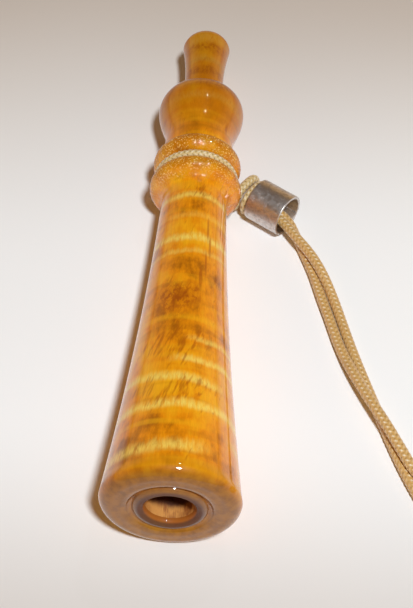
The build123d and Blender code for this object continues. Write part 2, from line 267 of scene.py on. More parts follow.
class StageSettings(bpy.types.PropertyGroup):
    """Camera, lamps and floor"""

    lens: bpy.props.FloatProperty(
        name="Lens", description="Focal length", default=73.066, subtype="DISTANCE_CAMERA", unit="CAMERA"
    )
    camera: place("Camera", "Place of the camera", 0.01579, -0.22308, 0.27738)
    camera_turn: bpy.props.FloatVectorProperty(
        name="Camera turn",
        description="Turn of the camera",
        default=(math.radians(37.5), 0, math.radians(2.957)),
        subtype="EULER",
    )
    lamp: place("Lamp", "Place of the main lamp", 0.15, -0.36, 0.7)
    lamp_size: length("Lamp size", "Width of the main lamp", 84)
    lamp_power: power("Lamp power", "Main lamp", 5.8)
    spot: place("Small lamp", "Place of the small lamp overhead", 0.14, 0.265, 0.59)
    spot_size: length("Small lamp size", "Width of the small lamp", 18)
    spot_power: power("Small lamp power", "Small lamp", 0.09)
    lamp_aim: place("Lamp aim", "What both lamps point at", 0, 0.04, 0.01)
    lamp_tint: bpy.props.FloatVectorProperty(
        name="Lamp tint",
        description="Colour of both lamps",
        default=(0.85, 0.935, 1.0),
        subtype="COLOR",
        min=0,
        max=1,
    )
    room_level: bpy.props.FloatProperty(
        name="Room level", description="Strength of the light from all round", default=0.94, min=0
    )
    horizon: colour("Horizon", "Room light from the sides", 250, 202, 138)
    ceiling: colour("Ceiling", "Room light from above", 86, 62, 36)
    floor_half: length("Floor half size", "Half the width of the floor", 4000)
    # The front and far floor colours are painted falloff: darker floor standing for the light fading away from the
    # call
    floor_front_painted_falloff: colour("Front floor", "Floor before the bell", 206, 197, 190)
    floor_middle: colour("Middle floor", "Floor beside the call", 253, 252, 251)
    floor_far_painted_falloff: colour("Far floor", "Floor behind the mouthpiece", 211, 199, 188)


GROUPS = {
    "call_sizes": CallSizes,
    "lanyard_sizes": LanyardSizes,
    "call_finishes": CallFinishes,
    "call_stage": StageSettings,
}


class NodeBench:
    """Adds nodes to one tree and joins their sockets."""

    def __init__(self, tree):
        self.tree = tree
        self.count = 0

    def add(self, kind, inputs=(), **settings):
        """A new node with its settings and inputs."""
        node = self.tree.nodes.new(kind)
        node.location = (self.count % 10 * 200, -(self.count // 10) * 280)
        self.count += 1
        for name, value in settings.items():
            setattr(node, name, value)
        self.feed(node, dict(inputs))
        return node

    def feed(self, node, inputs):
        """Joins a node's inputs to sockets, or gives them plain values."""
        for name, value in inputs.items():
            if isinstance(value, bpy.types.NodeSocket):
                self.tree.links.new(value, node.inputs[name])
            else:
                node.inputs[name].default_value = value

    def math(self, operation, *values, clamp=False):
        """One sum on numbers."""
        node = self.add("ShaderNodeMath", enumerate(values), operation=operation, use_clamp=clamp)
        return node.outputs[0]

    def vector(self, operation, *values, out=0, scale=None):
        """One sum on vectors."""
        node = self.add("ShaderNodeVectorMath", enumerate(values), operation=operation)
        if scale is not None:
            self.feed(node, {"Scale": scale})
        return node.outputs[out]

    def mix(self, factor, first, second, blend="MIX"):
        """A mix of two colours."""
        node = self.add("ShaderNodeMix", {0: factor, 6: first, 7: second}, data_type="RGBA", blend_type=blend)
        return node.outputs[2]

    def ramp(self, value, low, high, to_low=0.0, to_high=1.0):
        """A smooth step from one value to another as the input goes from low to high."""
        inputs = {"Value": value, "From Min": low, "From Max": high, "To Min": to_low, "To Max": to_high}
        return self.add("ShaderNodeMapRange", inputs, interpolation_type="SMOOTHSTEP").outputs[0]

    def noise(self, place, stretch, detail=2.0, roughness=0.5):
        """Noise with so many waves to the unit of place along each axis."""
        stretched = self.vector("MULTIPLY", place, stretch)
        inputs = {"Vector": stretched, "Scale": 1.0, "Detail": detail, "Roughness": roughness}
        return self.add("ShaderNodeTexNoise", inputs).outputs[0]

    def millimetres(self):
        """Each point's place on its own piece, in millimetres."""
        place = self.add("ShaderNodeTexCoord").outputs["Object"]
        return self.vector("SCALE", place, scale=1000.0)

    def group(self, tree, **inputs):
        """A group node's outputs, with its inputs named in lower case."""
        node = self.add("ShaderNodeGroup", node_tree=tree)
        self.feed(node, {name.replace("_", " ").title(): value for name, value in inputs.items()})
        return node.outputs

    def greatest(self, tree, names, rows):
        """The greatest of a group's masks, one for each row of input values."""
        mask = 0.0
        for row in rows:
            mask = self.math("MAXIMUM", mask, self.group(tree, **dict(zip(names, row)))["Mask"])
        return mask


def new_group(name, inputs, outputs, vectors=()):
    """A shader node group of number sockets, its bench and its two ends."""
    tree = bpy.data.node_groups.new(name, "ShaderNodeTree")
    for socket, default in inputs.items():
        made = tree.interface.new_socket(socket, in_out="INPUT", socket_type="NodeSocketFloat")
        made.default_value = default
    for socket in outputs:
        kind = "NodeSocketVector" if socket in vectors else "NodeSocketFloat"
        tree.interface.new_socket(socket, in_out="OUTPUT", socket_type=kind)
    bench = NodeBench(tree)
    return tree, bench, bench.add("NodeGroupInput").outputs, bench.add("NodeGroupOutput")


def once(make):
    """Keeps the group or material that a function makes, so that it is built once."""
    kept = {}

    def get():
        if "made" not in kept:
            kept["made"] = make()
        return kept["made"]

    return get


# Degrees over which a band of curl fades at its ends, and the soft share of a patch's edge
CURL_FADE = 14.0
PATCH_EDGE = 0.6


@once
def place_group():
    """Where a point is on the call: station along it, turn from the top and distance from its axis."""
    outputs = ("Place", "Station", "Turn", "Radius")
    tree, bench, _, ends = new_group("call_place", {}, outputs, vectors=("Place",))
    laid = call_placement()
    inputs = {
        "Vector": bench.add("ShaderNodeTexCoord").outputs["Object"],
        "Location": laid.to_translation(),
        "Rotation": laid.to_euler(),
        "Scale": (0.001, 0.001, 0.001),
    }
    place = bench.add("ShaderNodeMapping", inputs, vector_type="TEXTURE").outputs[0]
    parts = bench.add("ShaderNodeSeparateXYZ", {0: place}).outputs
    turn = bench.math("ARCTAN2", parts["X"], parts["Z"])
    off_axis = bench.vector("MULTIPLY", place, (1, 0, 1))
    here = {
        "Place": place,
        "Station": parts["Y"],
        "Turn": bench.math("MULTIPLY", turn, math.degrees(1)),
        "Radius": bench.vector("LENGTH", off_axis, out="Value"),
    }
    bench.feed(ends, here)
    return tree


@once
def curl_group():
    """One bright band of curl across the grain, crisp towards the bell and frayed towards the mouth."""
    inputs = {
        "Station": 0.0,
        "Half Width": 1.3,
        "Turn From": -180.0,
        "Turn To": 180.0,
        "Lean": 0.0,
        "Strength": 1.0,
    }
    tree, bench, values, ends = new_group("wood_curl", inputs, ("Mask",))
    here = bench.group(place_group())
    fray = bench.math("SUBTRACT", bench.noise(here["Place"], (1.0, 0.16, 1.0), 3.0, 0.6), 0.5)
    sway = bench.math("SUBTRACT", bench.noise(here["Place"], (0.12, 0.02, 0.12), 1.0), 0.5)
    leaned = bench.math("SUBTRACT", here["Station"], bench.math("MULTIPLY", here["Turn"], values["Lean"]))
    swayed = bench.math("MULTIPLY_ADD", sway, 2.2, leaned)
    off = bench.math("DIVIDE", bench.math("SUBTRACT", swayed, values["Station"]), values["Half Width"])
    near = bench.ramp(bench.math("MULTIPLY_ADD", fray, 0.9, off), -1.5, -0.3)
    far = bench.ramp(bench.math("MULTIPLY_ADD", fray, 1.9, off), -0.2, 1.5, 1.0, 0.0)
    start = bench.ramp(bench.math("SUBTRACT", here["Turn"], values["Turn From"]), -CURL_FADE, CURL_FADE)
    stop = bench.ramp(bench.math("SUBTRACT", values["Turn To"], here["Turn"]), -CURL_FADE, CURL_FADE)
    fibre = bench.ramp(bench.noise(here["Place"], (1.5, 0.3, 1.5), 3.0, 0.6), 0.28, 0.58, 0.3, 1.0)
    mask = values["Strength"]
    for share in (near, far, start, stop, fibre):
        mask = bench.math("MULTIPLY", mask, share)
    bench.feed(ends, {"Mask": mask})
    return tree


@once
def patch_group():
    """A soft-edged patch of the wood, given by its station and turn."""
    inputs = {"Station": 0.0, "Half Length": 6.0, "Turn": 0.0, "Half Turn": 30.0}
    tree, bench, values, ends = new_group("wood_patch", inputs, ("Mask",))
    here = bench.group(place_group())
    along = bench.math("SUBTRACT", here["Station"], values["Station"])
    along = bench.math("POWER", bench.math("DIVIDE", along, values["Half Length"]), 2.0)
    across = bench.math("SUBTRACT", here["Turn"], values["Turn"])
    across = bench.math("POWER", bench.math("DIVIDE", across, values["Half Turn"]), 2.0)
    far = bench.math("SQRT", bench.math("ADD", along, across))
    wander = bench.math("SUBTRACT", bench.noise(here["Place"], (0.22, 0.12, 0.22), 2.0), 0.5)
    inside = bench.math("SUBTRACT", 1.0, bench.math("MULTIPLY_ADD", wander, 1.3, far))
    bench.feed(ends, {"Mask": bench.math("DIVIDE", inside, PATCH_EDGE, clamp=True)})
    return tree


@once
def grain_group():
    """The wood's broad figure, its mottling, fine fibres, short dark flecks and ripple."""
    outputs = ("Figure", "Mottle", "Fibre", "Fleck", "Ripple")
    tree, bench, _, ends = new_group("wood_grain", {}, outputs)
    here = bench.group(place_group())
    place = here["Place"]
    slant = bench.vector("SCALE", (0.29, 0.0, 0.0), scale=here["Station"])
    slanted = bench.vector("SUBTRACT", place, slant)
    grain = {
        "Figure": bench.noise(place, (0.07, 0.06, 0.07), 2.0, 0.55),
        "Mottle": bench.noise(place, (0.42, 0.2, 0.42), 3.0, 0.6),
        "Fibre": bench.noise(place, (2.4, 0.09, 2.4), 3.0, 0.6),
        "Fleck": bench.noise(slanted, (0.95, 0.17, 0.95), 2.0, 0.55),
        "Ripple": bench.noise(place, (0.03, 0.32, 0.03), 1.5, 0.5),
    }
    bench.feed(ends, grain)
    return tree


@once
def scuff_group():
    """Fine scratches and dull spots of a handled surface."""
    tree, bench, values, ends = new_group("handled_scuffs", {"Scale": 1.0}, ("Scratch", "Dull"))
    place = bench.vector("SCALE", bench.millimetres(), scale=values["Scale"])
    scratch = 0.0
    for way in ((0.3, 1.9, 0.5), (1.6, 0.25, 0.9), (0.9, 0.8, 2.0)):
        off = bench.math("ABSOLUTE", bench.math("SUBTRACT", bench.noise(place, way, 1.0), 0.5))
        scratch = bench.math("MAXIMUM", scratch, bench.ramp(off, 0.0, 0.02, 1.0, 0.0))
    patchy = bench.ramp(bench.noise(place, (0.35, 0.35, 0.35), 2.0), 0.45, 0.65)
    dull = bench.noise(place, (0.6, 0.6, 0.6), 4.0, 0.6)
    bench.feed(ends, {"Scratch": bench.math("MULTIPLY", scratch, patchy), "Dull": dull})
    return tree


def new_material(name):
    """A material with its bench and its Principled shader."""
    material = bpy.data.materials.new(name)
    material.use_nodes = True
    material.node_tree.nodes.clear()
    bench = NodeBench(material.node_tree)
    shader = bench.add("ShaderNodeBsdfPrincipled")
    bench.add("ShaderNodeOutputMaterial", {"Surface": shader.outputs[0]})
    return material, bench, shader


def bump(bench, height, distance, strength):
    """A normal from a height, whose distance is in metres."""
    inputs = {"Height": height, "Distance": distance, "Strength": strength}
    return bench.add("ShaderNodeBump", inputs).outputs[0]


def scaled(shade, factor, lift=0.0):
    """A lighter or darker copy of a colour."""
    return (*(min(1.0, value * factor + lift) for value in shade[:3]), 1.0)


# Bands of curl, in millimetres along the call and degrees from the top
CURL_VALUES = ("station", "half_width", "turn_from", "turn_to", "lean", "strength")
BARREL_CURLS = (
    (95.4, 1.25, -180, 180, 0.0, 0.8),
    (79.0, 1.45, -180, 180, 0.002, 1.0),
    (87.5, 1.1, -180, 180, 0.0, 0.3),
    (73.6, 1.0, -180, 180, 0.012, 0.5),
    (42.2, 1.0, 14, 150, 0.004, 0.75),
    (35.2, 1.15, -4, 165, 0.004, 0.9),
    (29.3, 1.35, -150, 46, -0.018, 1.0),
    (20.9, 1.4, -180, 180, 0.006, 1.0),
    (8.4, 1.75, -170, 27, 0.014, 0.85),
    (65.5, 2.2, -130, -60, 0.0, 0.35),
    (51.5, 1.2, 95, 180, 0.0, 0.6),
    (14.2, 1.3, 60, 180, 0.0, 0.5),
)
MOUTHPIECE_CURLS = (
    # The first band, round the ball's ridge, is a painted reflection rather than curl: a thin bright arc for the
    # light's sheen along the ridge
    (134.2, 1.3, -80, 75, 0.0, 0.3),
    (122.0, 1.2, 70, 180, 0.0, 0.4),
    (129.0, 1.0, -180, -70, 0.0, 0.35),
    (157.8, 1.6, -180, 180, 0.0, 0.4),
    (167.0, 2.2, -70, 90, 0.01, 0.45),
)
# Reddish patches, flecks, streaks, and rings with painted glints, in the same measures
PATCH_VALUES = ("station", "half_length", "turn", "half_turn")
BARREL_MARKS = SimpleNamespace(
    curls=BARREL_CURLS,
    patches=((56.0, 8.5, -8, 34), (88.0, 6.0, -150, 30), (30.0, 9.0, 140, 26)),
    flecks=((40.0, 9.5, -4, 46), (26.0, 5.5, -5, 48), (57.0, 7.0, -6, 30), (97.0, 3.0, 10, 40)),
    streaks=(
        (82.0, 5.5, 29, 2.6),
        (76.0, 5.0, 33, 2.6),
        (69.5, 5.5, 27, 2.6),
        (64.0, 5.0, 20, 3.0),
        (57.0, 3.0, -4, 12),
    ),
    rings=((105.8, 4.2, 0, 150), (115.6, 4.8, 0, 150)),
)
MOUTHPIECE_MARKS = SimpleNamespace(
    curls=MOUTHPIECE_CURLS,
    patches=((127.0, 6.0, -120, 40), (163.0, 3.0, 0, 80), (152.5, 2.4, 20, 120), (139.5, 3.0, 30, 60)),
    flecks=(),
    streaks=((125.5, 3.0, 52, 5),),
    rings=(),
)
# Tone of the figure below which the wood is all dark, and above which none of it is
BARREL_DARK_TONE = 0.4
MOUTHPIECE_DARK_TONE = 0.26
MAIN_TONE = 0.61
# Stations between which the wood darkens to the mouth, as painted shade for the light fading there, and to the
# bell's end, and how far at each
MOUTH_PAINTED_FALLOFF = (116.0, 134.0, 0.0, 0.64)
BELL_SHADE = (8.0, 1.5, 0.0, 0.4)
# Radii between which the bell's end face turns to its hollow and its bead, both with painted reflection in their
# colours, and to the bore's edge
TO_HOLLOW = (10.8, 9.0, 0.0, 0.7)
TO_BEAD = (8.7, 7.8)
TO_BORE = (6.6, 6.1)


def wood_figure(bench, finish, grain, dark_tone):
    """Dark, main and light wood by its figure, with a faint ripple across it."""
    tone = bench.math("MULTIPLY_ADD", grain["Mottle"], 0.45, bench.math("MULTIPLY", grain["Figure"], 0.75))
    base = bench.mix(bench.ramp(tone, dark_tone, MAIN_TONE), finish.umber, finish.amber)
    base = bench.mix(bench.ramp(tone, 0.55, 0.78, 0.0, 0.9), base, finish.honey)
    base = bench.mix(bench.ramp(grain["Ripple"], 0.5, 0.74, 0.0, 0.5), base, finish.honey)
    return bench.mix(bench.ramp(grain["Ripple"], 0.46, 0.28, 0.0, 0.3), base, finish.umber)


def wood_marks(bench, finish, here, grain, base, marks):
    """Reddish patches, curl, flecks and streaks in their places, and fine fibres over all."""
    reddish = bench.greatest(patch_group(), PATCH_VALUES, marks.patches)
    dots = bench.noise(here["Place"], (1.1, 0.6, 1.1), 3.0, 0.65)
    stained = bench.math("MULTIPLY", reddish, bench.ramp(dots, 0.42, 0.62, 0.3, 0.9))
    base = bench.mix(stained, base, finish.russet)
    base = bench.mix(bench.greatest(curl_group(), CURL_VALUES, marks.curls), base, finish.curl)
    flecked = bench.greatest(patch_group(), PATCH_VALUES, marks.flecks)
    level = bench.math("MULTIPLY_ADD", flecked, 0.17, grain["Fleck"])
    base = bench.mix(bench.ramp(level, 0.6, 0.84, 0.0, 0.64), base, finish.fleck)
    streaked = bench.greatest(patch_group(), PATCH_VALUES, marks.streaks)
    base = bench.mix(bench.math("MULTIPLY", streaked, 0.6), base, finish.fleck)
    return bench.mix(bench.ramp(grain["Fibre"], 0.62, 0.42, 0.0, 0.12), base, finish.umber)


def rings_with_painted_glints(bench, finish, here, base, rings):
    """Darker wood on the pebbled rings, with painted glints: bright specks that stand for sparkling reflections.
    """
    on_ring = bench.greatest(patch_group(), PATCH_VALUES, rings)
    # Painted glints: bright specks over the upper part of each ring
    specks = bench.ramp(bench.noise(here["Place"], (2.3, 2.3, 2.3), 1.0, 0.5), 0.55, 0.67, 0.0, 0.85)
    base = bench.mix(bench.math("MULTIPLY", on_ring, 0.55), base, finish.umber)
    return bench.mix(bench.math("MULTIPLY", specks, on_ring), base, finish.ring_painted_glint)


def bell_end(bench, finish, here, grain, base):
    """The bell's end face by its radius: end grain, then the hollow and the dark bead with painted reflections in
    their colours, and the bore's edge.
    """
    station, radius = here["Station"], here["Radius"]
    ends = bench.mix(bench.ramp(grain["Mottle"], 0.35, 0.62), finish.end_grain_dark, finish.end_grain)
    ends = bench.mix(bench.ramp(radius, *TO_HOLLOW), ends, finish.recess_painted_reflection)
    ends = bench.mix(bench.ramp(radius, *TO_BEAD), ends, finish.lip)
    ends = bench.mix(bench.ramp(radius, *TO_BORE), ends, finish.bare_wood_dark)
    in_lip = bench.math("MULTIPLY", bench.ramp(radius, 8.6, 7.6), bench.ramp(station, 4.0, 3.0))
    on_end = bench.math("MAXIMUM", bench.ramp(station, 2.8, 0.2), in_lip)
    base = bench.mix(bench.ramp(station, *BELL_SHADE), base, finish.umber)
    return bench.mix(bench.math("MULTIPLY", on_end, 0.9), base, ends)


def wood_material(name, dark_tone, marks):
    """Lacquered wood with its marks laid out along the call, with painted shade darkening it towards the mouth."""
    finish = bpy.context.scene.call_finishes
    material, bench, shader = new_material(name)
    here = bench.group(place_group())
    grain = bench.group(grain_group())
    base = wood_figure(bench, finish, grain, dark_tone)
    base = wood_marks(bench, finish, here, grain, base, marks)
    # Painted shade: the wood darkens towards the mouth, where the light falls off
    base = bench.mix(bench.ramp(here["Station"], *MOUTH_PAINTED_FALLOFF), base, finish.umber)
    base = rings_with_painted_glints(bench, finish, here, base, marks.rings)
    past_lip = bench.ramp(here["Radius"], 7.2, 8.2)
    lacquered = bench.math("MAXIMUM", past_lip, bench.ramp(here["Station"], 3.0, 4.0))
    look = {
        "Base Color": bell_end(bench, finish, here, grain, base),
        "Roughness": bench.ramp(grain["Fibre"], 0.3, 0.7, 0.34, 0.5),
        "Specular IOR Level": 0.08,
        "Coat Weight": bench.ramp(lacquered, 0.0, 1.0, 0.2, 1.0),
        "Coat Roughness": 0.035,
        "Coat IOR": 1.6,
    }
    bench.feed(shader, look)
    return material


@once
def bare_wood():
    """Unfinished wood inside the bore, socket and chamber, with painted shade far inside the bore."""
    finish = bpy.context.scene.call_finishes
    material, bench, shader = new_material("bare_wood")
    here = bench.group(place_group())
    grain = bench.group(grain_group())
    lines = bench.math("MULTIPLY_ADD", grain["Fibre"], 0.35, bench.math("MULTIPLY", grain["Mottle"], 0.65))
    base = bench.mix(bench.ramp(lines, 0.4, 0.6), finish.bare_wood_dark, finish.bare_wood)
    base = bench.mix(bench.ramp(grain["Fleck"], 0.62, 0.75, 0.0, 0.6), base, finish.umber)
    # Painted shade grows with depth in the bore, up to the throat
    depth = bench.math("MULTIPLY_ADD", grain["Mottle"], 3.0, here["Station"])
    before_throat = bench.ramp(here["Station"], 88.0, 94.0, 1.0, 0.0)
    painted_bore_shade = bench.math("MULTIPLY", bench.ramp(depth, 5.4, 7.4), before_throat)
    base = bench.mix(painted_bore_shade, base, finish.bore_painted_shade)
    look = {
        "Base Color": base,
        "Roughness": bench.ramp(grain["Mottle"], 0.3, 0.7, 0.55, 0.8),
        "Normal": bump(bench, grain["Fibre"], 0.0002, 0.6),
    }
    bench.feed(shader, look)
    return material


class Outline:
    """A closed outline of (radius, station) points, with the finish of each run."""

    def __init__(self, start):
        self.points = [start]
        self.finishes = []

    def add(self, points, finish):
        """Adds points to the end, all with one finish."""
        self.points += [tuple(point) for point in points]
        self.finishes += [finish] * len(points)

    def line(self, end, steps=1, finish=FINISHED):
        """A straight run in equal steps."""
        start = np.array(self.points[-1])
        self.add([start + (np.array(end) - start) * k / steps for k in range(1, steps + 1)], finish)

    def arc(self, middle, end, steps, finish=FINISHED):
        """A round run through a middle point."""
        (ax, ay), (bx, by), (cx, cy) = self.points[-1], middle, end
        d = 2 * (ax * (by - cy) + bx * (cy - ay) + cx * (ay - by))
        a2, b2, c2 = ax * ax + ay * ay, bx * bx + by * by, cx * cx + cy * cy
        x = (a2 * (by - cy) + b2 * (cy - ay) + c2 * (ay - by)) / d
        y = (a2 * (cx - bx) + b2 * (ax - cx) + c2 * (bx - ax)) / d
        radius = math.hypot(ax - x, ay - y)
        turns = np.unwrap([math.atan2(q - y, p - x) for p, q in (self.points[-1], middle, end)])
        spread = np.linspace(turns[0], turns[2], steps + 1)[1:]
        self.add([(x + radius * math.cos(t), y + radius * math.sin(t)) for t in spread], finish)

    def sweep(self, end, steps, finish=FINISHED):
        """A round run that leaves along the call."""
        (r0, u0), (r1, u1) = self.points[-1], end
        swell, reach = r1 - r0, u1 - u0
        radius = (swell**2 + reach**2) / (2 * swell)
        turn = math.atan2(reach, abs(radius - swell)) / 2
        self.arc((r0 + radius * (1 - math.cos(turn)), u0 + abs(radius) * math.sin(turn)), end, steps, finish)

    def rise(self, end, steps, finish=FINISHED):
        """A run that leaves and arrives along the call, in a gentle S."""
        (r0, u0), (r1, u1) = self.points[-1], end
        reach = math.hypot(r1 - r0, u1 - u0)
        t = np.linspace(0, 1, steps + 1)[1:]
        ease = 3 * t**2 - 2 * t**3
        along = u0 + (u1 - u0) * ease + reach * (t - 3 * t**2 + 2 * t**3)
        self.add(np.column_stack([r0 + (r1 - r0) * ease, along]), finish)


def stations(s):
    """Places along the call from the bell's end face, and how the flare's cove meets the near ring."""
    at = SimpleNamespace()
    blend = s.near_ring_blend
    at.ring_base = s.near_ring_radius - s.near_ring_bead
    at.meet = at.ring_base + s.near_ring_bead * math.cos(blend)
    at.cove = (at.meet - s.waist_radius) / (1 - math.cos(blend))
    at.waist = s.bell_rim_depth + s.flare_length
    at.near_ring = at.waist + (at.cove + s.near_ring_bead) * math.sin(blend)
    at.groove_from = at.near_ring + s.near_ring_bead
    at.groove = at.groove_from + s.groove_width / 2
    at.groove_to = at.groove_from + s.groove_width
    at.far_ring = at.groove_to + s.far_ring_half_width
    at.joint = at.far_ring + s.far_ring_half_width
    at.socket_floor = at.joint - s.socket_depth
    at.throat_floor = at.socket_floor - s.throat_depth
    at.tenon_end = at.socket_floor + s.tenon_end_gap
    at.seals = [at.tenon_end + s.seal_first, at.tenon_end + s.seal_first + s.seal_spacing]
    at.shoulder = at.joint + s.joint_gap
    at.chamber_end = at.shoulder + s.chamber_depth
    at.collar_end = at.shoulder + s.collar_length
    at.ball = at.collar_end + s.ball_rise
    at.ball_end = at.ball + s.ball_dome
    at.neck = at.ball_end + s.neck_cove
    at.flare = at.neck + s.neck_length
    at.knob = at.flare + s.knob_flare_length
    at.mouth = at.knob + s.knob_end_length
    return at


def call_placement():
    """The call's own frame, from the packed record: Y along its axis from the bell's end face."""
    face = next(m for m in frame["record"]["mounts"] if m["name"] == "bell_end")
    twist = next(j for j in frame["joints"] if j["name"] == "mouthpiece_twist")
    tilt = math.atan2(twist["axis"][2], twist["axis"][1])
    return Matrix.Translation((0, face["pos_m"][1], face["pos_m"][2])) @ Matrix.Rotation(tilt, 4, "X")


def barrel_outline(s, at):
    """Lip, end face, rim, flare, rings and groove, then socket, throat and bore."""
    blend = s.near_ring_blend
    rim = s.bell_radius - s.bell_rim_reach
    lip = s.bore_radius + s.lip_bead
    foot = lip + math.sqrt(s.lip_bead**2 - (s.lip_bead - s.lip_recess) ** 2)
    break_ = s.edge_break
    outline = Outline((s.bore_radius, s.lip_bead))
    outline.arc((lip, 0), (foot, s.lip_recess), 26)
    hollow = ((foot + s.bell_face_radius) / 2, s.lip_recess / 2 + s.lip_recess_hollow)
    edge = s.bell_face_radius
    outline.arc(hollow, (edge - s.recess_edge, s.recess_edge * 0.5), 10)
    outline.arc((edge + s.recess_edge * 0.1, s.recess_edge * 0.1), (edge + s.recess_edge * 1.4, 0), 8)
    outline.line((rim, 0), 4)
    outline.arc(
        (rim + s.bell_rim_reach * DIAGONAL, s.bell_rim_depth * CORNER), (s.bell_radius, s.bell_rim_depth), 18
    )
    start = np.array((s.bell_radius, s.bell_rim_depth))
    end = np.array((s.waist_radius, at.waist))
    run = (end - start) / np.linalg.norm(end - start)
    outline.arc((start + end) / 2 + s.flare_hollow * np.array((-run[1], run[0])), end, 90)
    outline.arc(
        (s.waist_radius + at.cove * (1 - math.cos(blend / 2)), at.waist + at.cove * math.sin(blend / 2)),
        (at.meet, at.near_ring - s.near_ring_bead * math.sin(blend)),
        16,
    )
    outline.arc((s.near_ring_radius, at.near_ring), (at.ring_base, at.groove_from), 30)
    outline.line((s.groove_radius + break_, at.groove_from), 2)
    outline.line((s.groove_radius, at.groove_from + break_))
    outline.line((s.groove_radius, at.groove_to - break_), 4)
    outline.line((s.groove_radius + break_, at.groove_to))
    base = s.far_ring_radius - s.far_ring_height
    outline.line((base, at.groove_to), 2)
    outline.arc((s.far_ring_radius, at.far_ring), (base, at.joint), 30)
    outline.line((s.socket_radius + break_, at.joint), 3)
    outline.line((s.socket_radius, at.joint - break_), 1, BARE)
    outline.line((s.socket_radius, at.socket_floor), 8, BARE)
    outline.line((s.throat_radius, at.socket_floor), 2, BARE)
    outline.line((s.throat_radius, at.throat_floor), 8, BARE)
    outline.line((s.bore_radius, at.throat_floor), 1, BARE)
    outline.line((s.bore_radius, s.lip_bead), 40, BARE)
    return outline


def mouthpiece_outline(s, at):
    """Tenon with its seal grooves, collar, ball, neck and knob, then air hole and chamber."""
    tenon = s.socket_radius - s.tenon_clearance
    break_ = s.edge_break
    outline = Outline((s.chamber_radius, at.tenon_end))
    outline.line((tenon - break_, at.tenon_end), 2, BARE)
    outline.line((tenon, at.tenon_end + break_), 1, BARE)
    for seal in at.seals:
        start = seal - s.seal_groove_width / 2
        stop = seal + s.seal_groove_width / 2
        outline.line((tenon, start), 2, BARE)
        outline.line((tenon - s.seal_section, start), 1, BARE)
        outline.line((tenon - s.seal_section, stop), 2, BARE)
        outline.line((tenon, stop), 1, BARE)
    outline.line((tenon, at.shoulder), 3, BARE)
    outline.line((s.collar_radius - break_, at.shoulder), 2)
    outline.line((s.collar_radius, at.shoulder + break_))
    outline.line((s.collar_radius, at.collar_end), 10)
    outline.rise((s.ball_radius, at.ball), 32)
    outline.sweep((s.neck_radius + s.neck_cove, at.ball_end), 28)
    cove = s.neck_cove * CORNER
    outline.arc((s.neck_radius + cove, at.ball_end + cove), (s.neck_radius, at.neck), 8)
    outline.line((s.neck_radius, at.flare), 10)
    outline.sweep((s.knob_radius, at.knob), 24)
    outline.arc(
        ((s.knob_radius * 2 + s.knob_end_radius) / 3, at.knob + s.knob_end_length * 0.6),
        (s.knob_end_radius, at.mouth),
        18,
    )
    hole = s.air_hole_radius
    outline.line((hole + break_ * 2, at.mouth), 5)
    outline.arc((hole + break_ * 0.6, at.mouth - break_ * 0.6), (hole, at.mouth - break_ * 2), 5)
    outline.line((hole, at.chamber_end + s.chamber_radius - hole), 20, BARE)
    outline.line((s.chamber_radius, at.chamber_end), 4, BARE)
    outline.line((s.chamber_radius, at.tenon_end), 16, BARE)
    return outline


def grid_faces(rows, columns, rows_closed, columns_closed):
    """Corner numbers of the quads of a grid of points."""
    i = np.arange(rows if rows_closed else rows - 1)
    j = np.arange(columns if columns_closed else columns - 1)
    i, j = (a.ravel() for a in np.meshgrid(i, j, indexing="ij"))
    ni, nj = (i + 1) % rows, (j + 1) % columns
    return np.column_stack([i * columns + j, i * columns + nj, ni * columns + nj, ni * columns + j])


def new_piece(name, points, quads, caps=()):
    """A smooth mesh object from points, quads and capping faces, with its faces turned outwards."""
    mesh = bpy.data.meshes.new(name)
    mesh.from_pydata(points.tolist(), [], quads.tolist() + [list(cap) for cap in caps])
    build = bmesh.new()
    build.from_mesh(mesh)
    bmesh.ops.recalc_face_normals(build, faces=build.faces)
    build.to_mesh(mesh)
    build.free()
    mesh.shade_smooth()
    piece = bpy.data.objects.new(name, mesh)
    bpy.context.scene.collection.objects.link(piece)
    return piece


# Pebbling: the draw's seed, each point's share of its neighbours, and the greatest depth for a depth of 1
PEBBLE_SEED = 11
PEBBLE_SPREAD = 0.35
PEBBLE_LIMIT = 2
# Edges that turn by more than this stay sharp on the turned pieces and on the leg band
TURNED_EDGE = math.radians(40)
BAND_SHARP_EDGE = math.radians(50)


def turn_piece(name, outline, around, pebbled=()):
    """Turns a closed outline about the call's axis, with pebbling from start to end at each given depth."""
    points = np.array(outline.points[:-1])
    turn = np.linspace(0, 2 * math.pi, around, endpoint=False)
    radius = np.repeat(points[:, :1], around, axis=1)
    draw = np.random.default_rng(PEBBLE_SEED)
    rough = draw.normal(0, 1, radius.shape)
    for axis in (0, 1):
        rough = rough + PEBBLE_SPREAD * (np.roll(rough, 1, axis) + np.roll(rough, -1, axis))
    rough /= rough.std()
    outer = np.array(outline.finishes) == FINISHED
    for start, end, depth in pebbled:
        rows = outer & (points[:, 1] > start) & (points[:, 1] < end)
        radius[rows] -= depth * np.abs(rough[rows]).clip(max=PEBBLE_LIMIT)
    station = np.repeat(points[:, 1:], around, axis=1)
    grid = np.stack([radius * np.cos(turn), station, radius * np.sin(turn)], axis=-1)
    quads = grid_faces(len(points), around, True, True)
    piece = new_piece(name, grid.reshape(-1, 3), quads)
    finishes = np.repeat(np.array(outline.finishes, np.int32), around)
    piece.data.polygons.foreach_set("material_index", finishes)
    piece.data.set_sharp_from_angle(angle=TURNED_EDGE)
    piece.data.transform(call_placement())
    return piece


def read_line(name, route, resolution):
    """Points along one smooth line that has the route's points as its control points."""
    curve = bpy.data.curves.new(name, "CURVE")
    curve.dimensions = "3D"
    spline = curve.splines.new("NURBS")
    spline.points.add(len(route) - 1)
    for point, place in zip(spline.points, route):
        point.co = (*place, 1)
    spline.order_u = 3
    spline.use_endpoint_u = True
    spline.resolution_u = resolution
    holder = bpy.data.objects.new(name, curve)
    bpy.context.scene.collection.objects.link(holder)
    mesh = bpy.data.meshes.new_from_object(holder)
    line = np.array([vertex.co for vertex in mesh.vertices])
    bpy.data.objects.remove(holder)
    bpy.data.curves.remove(curve)
    bpy.data.meshes.remove(mesh)
    return line


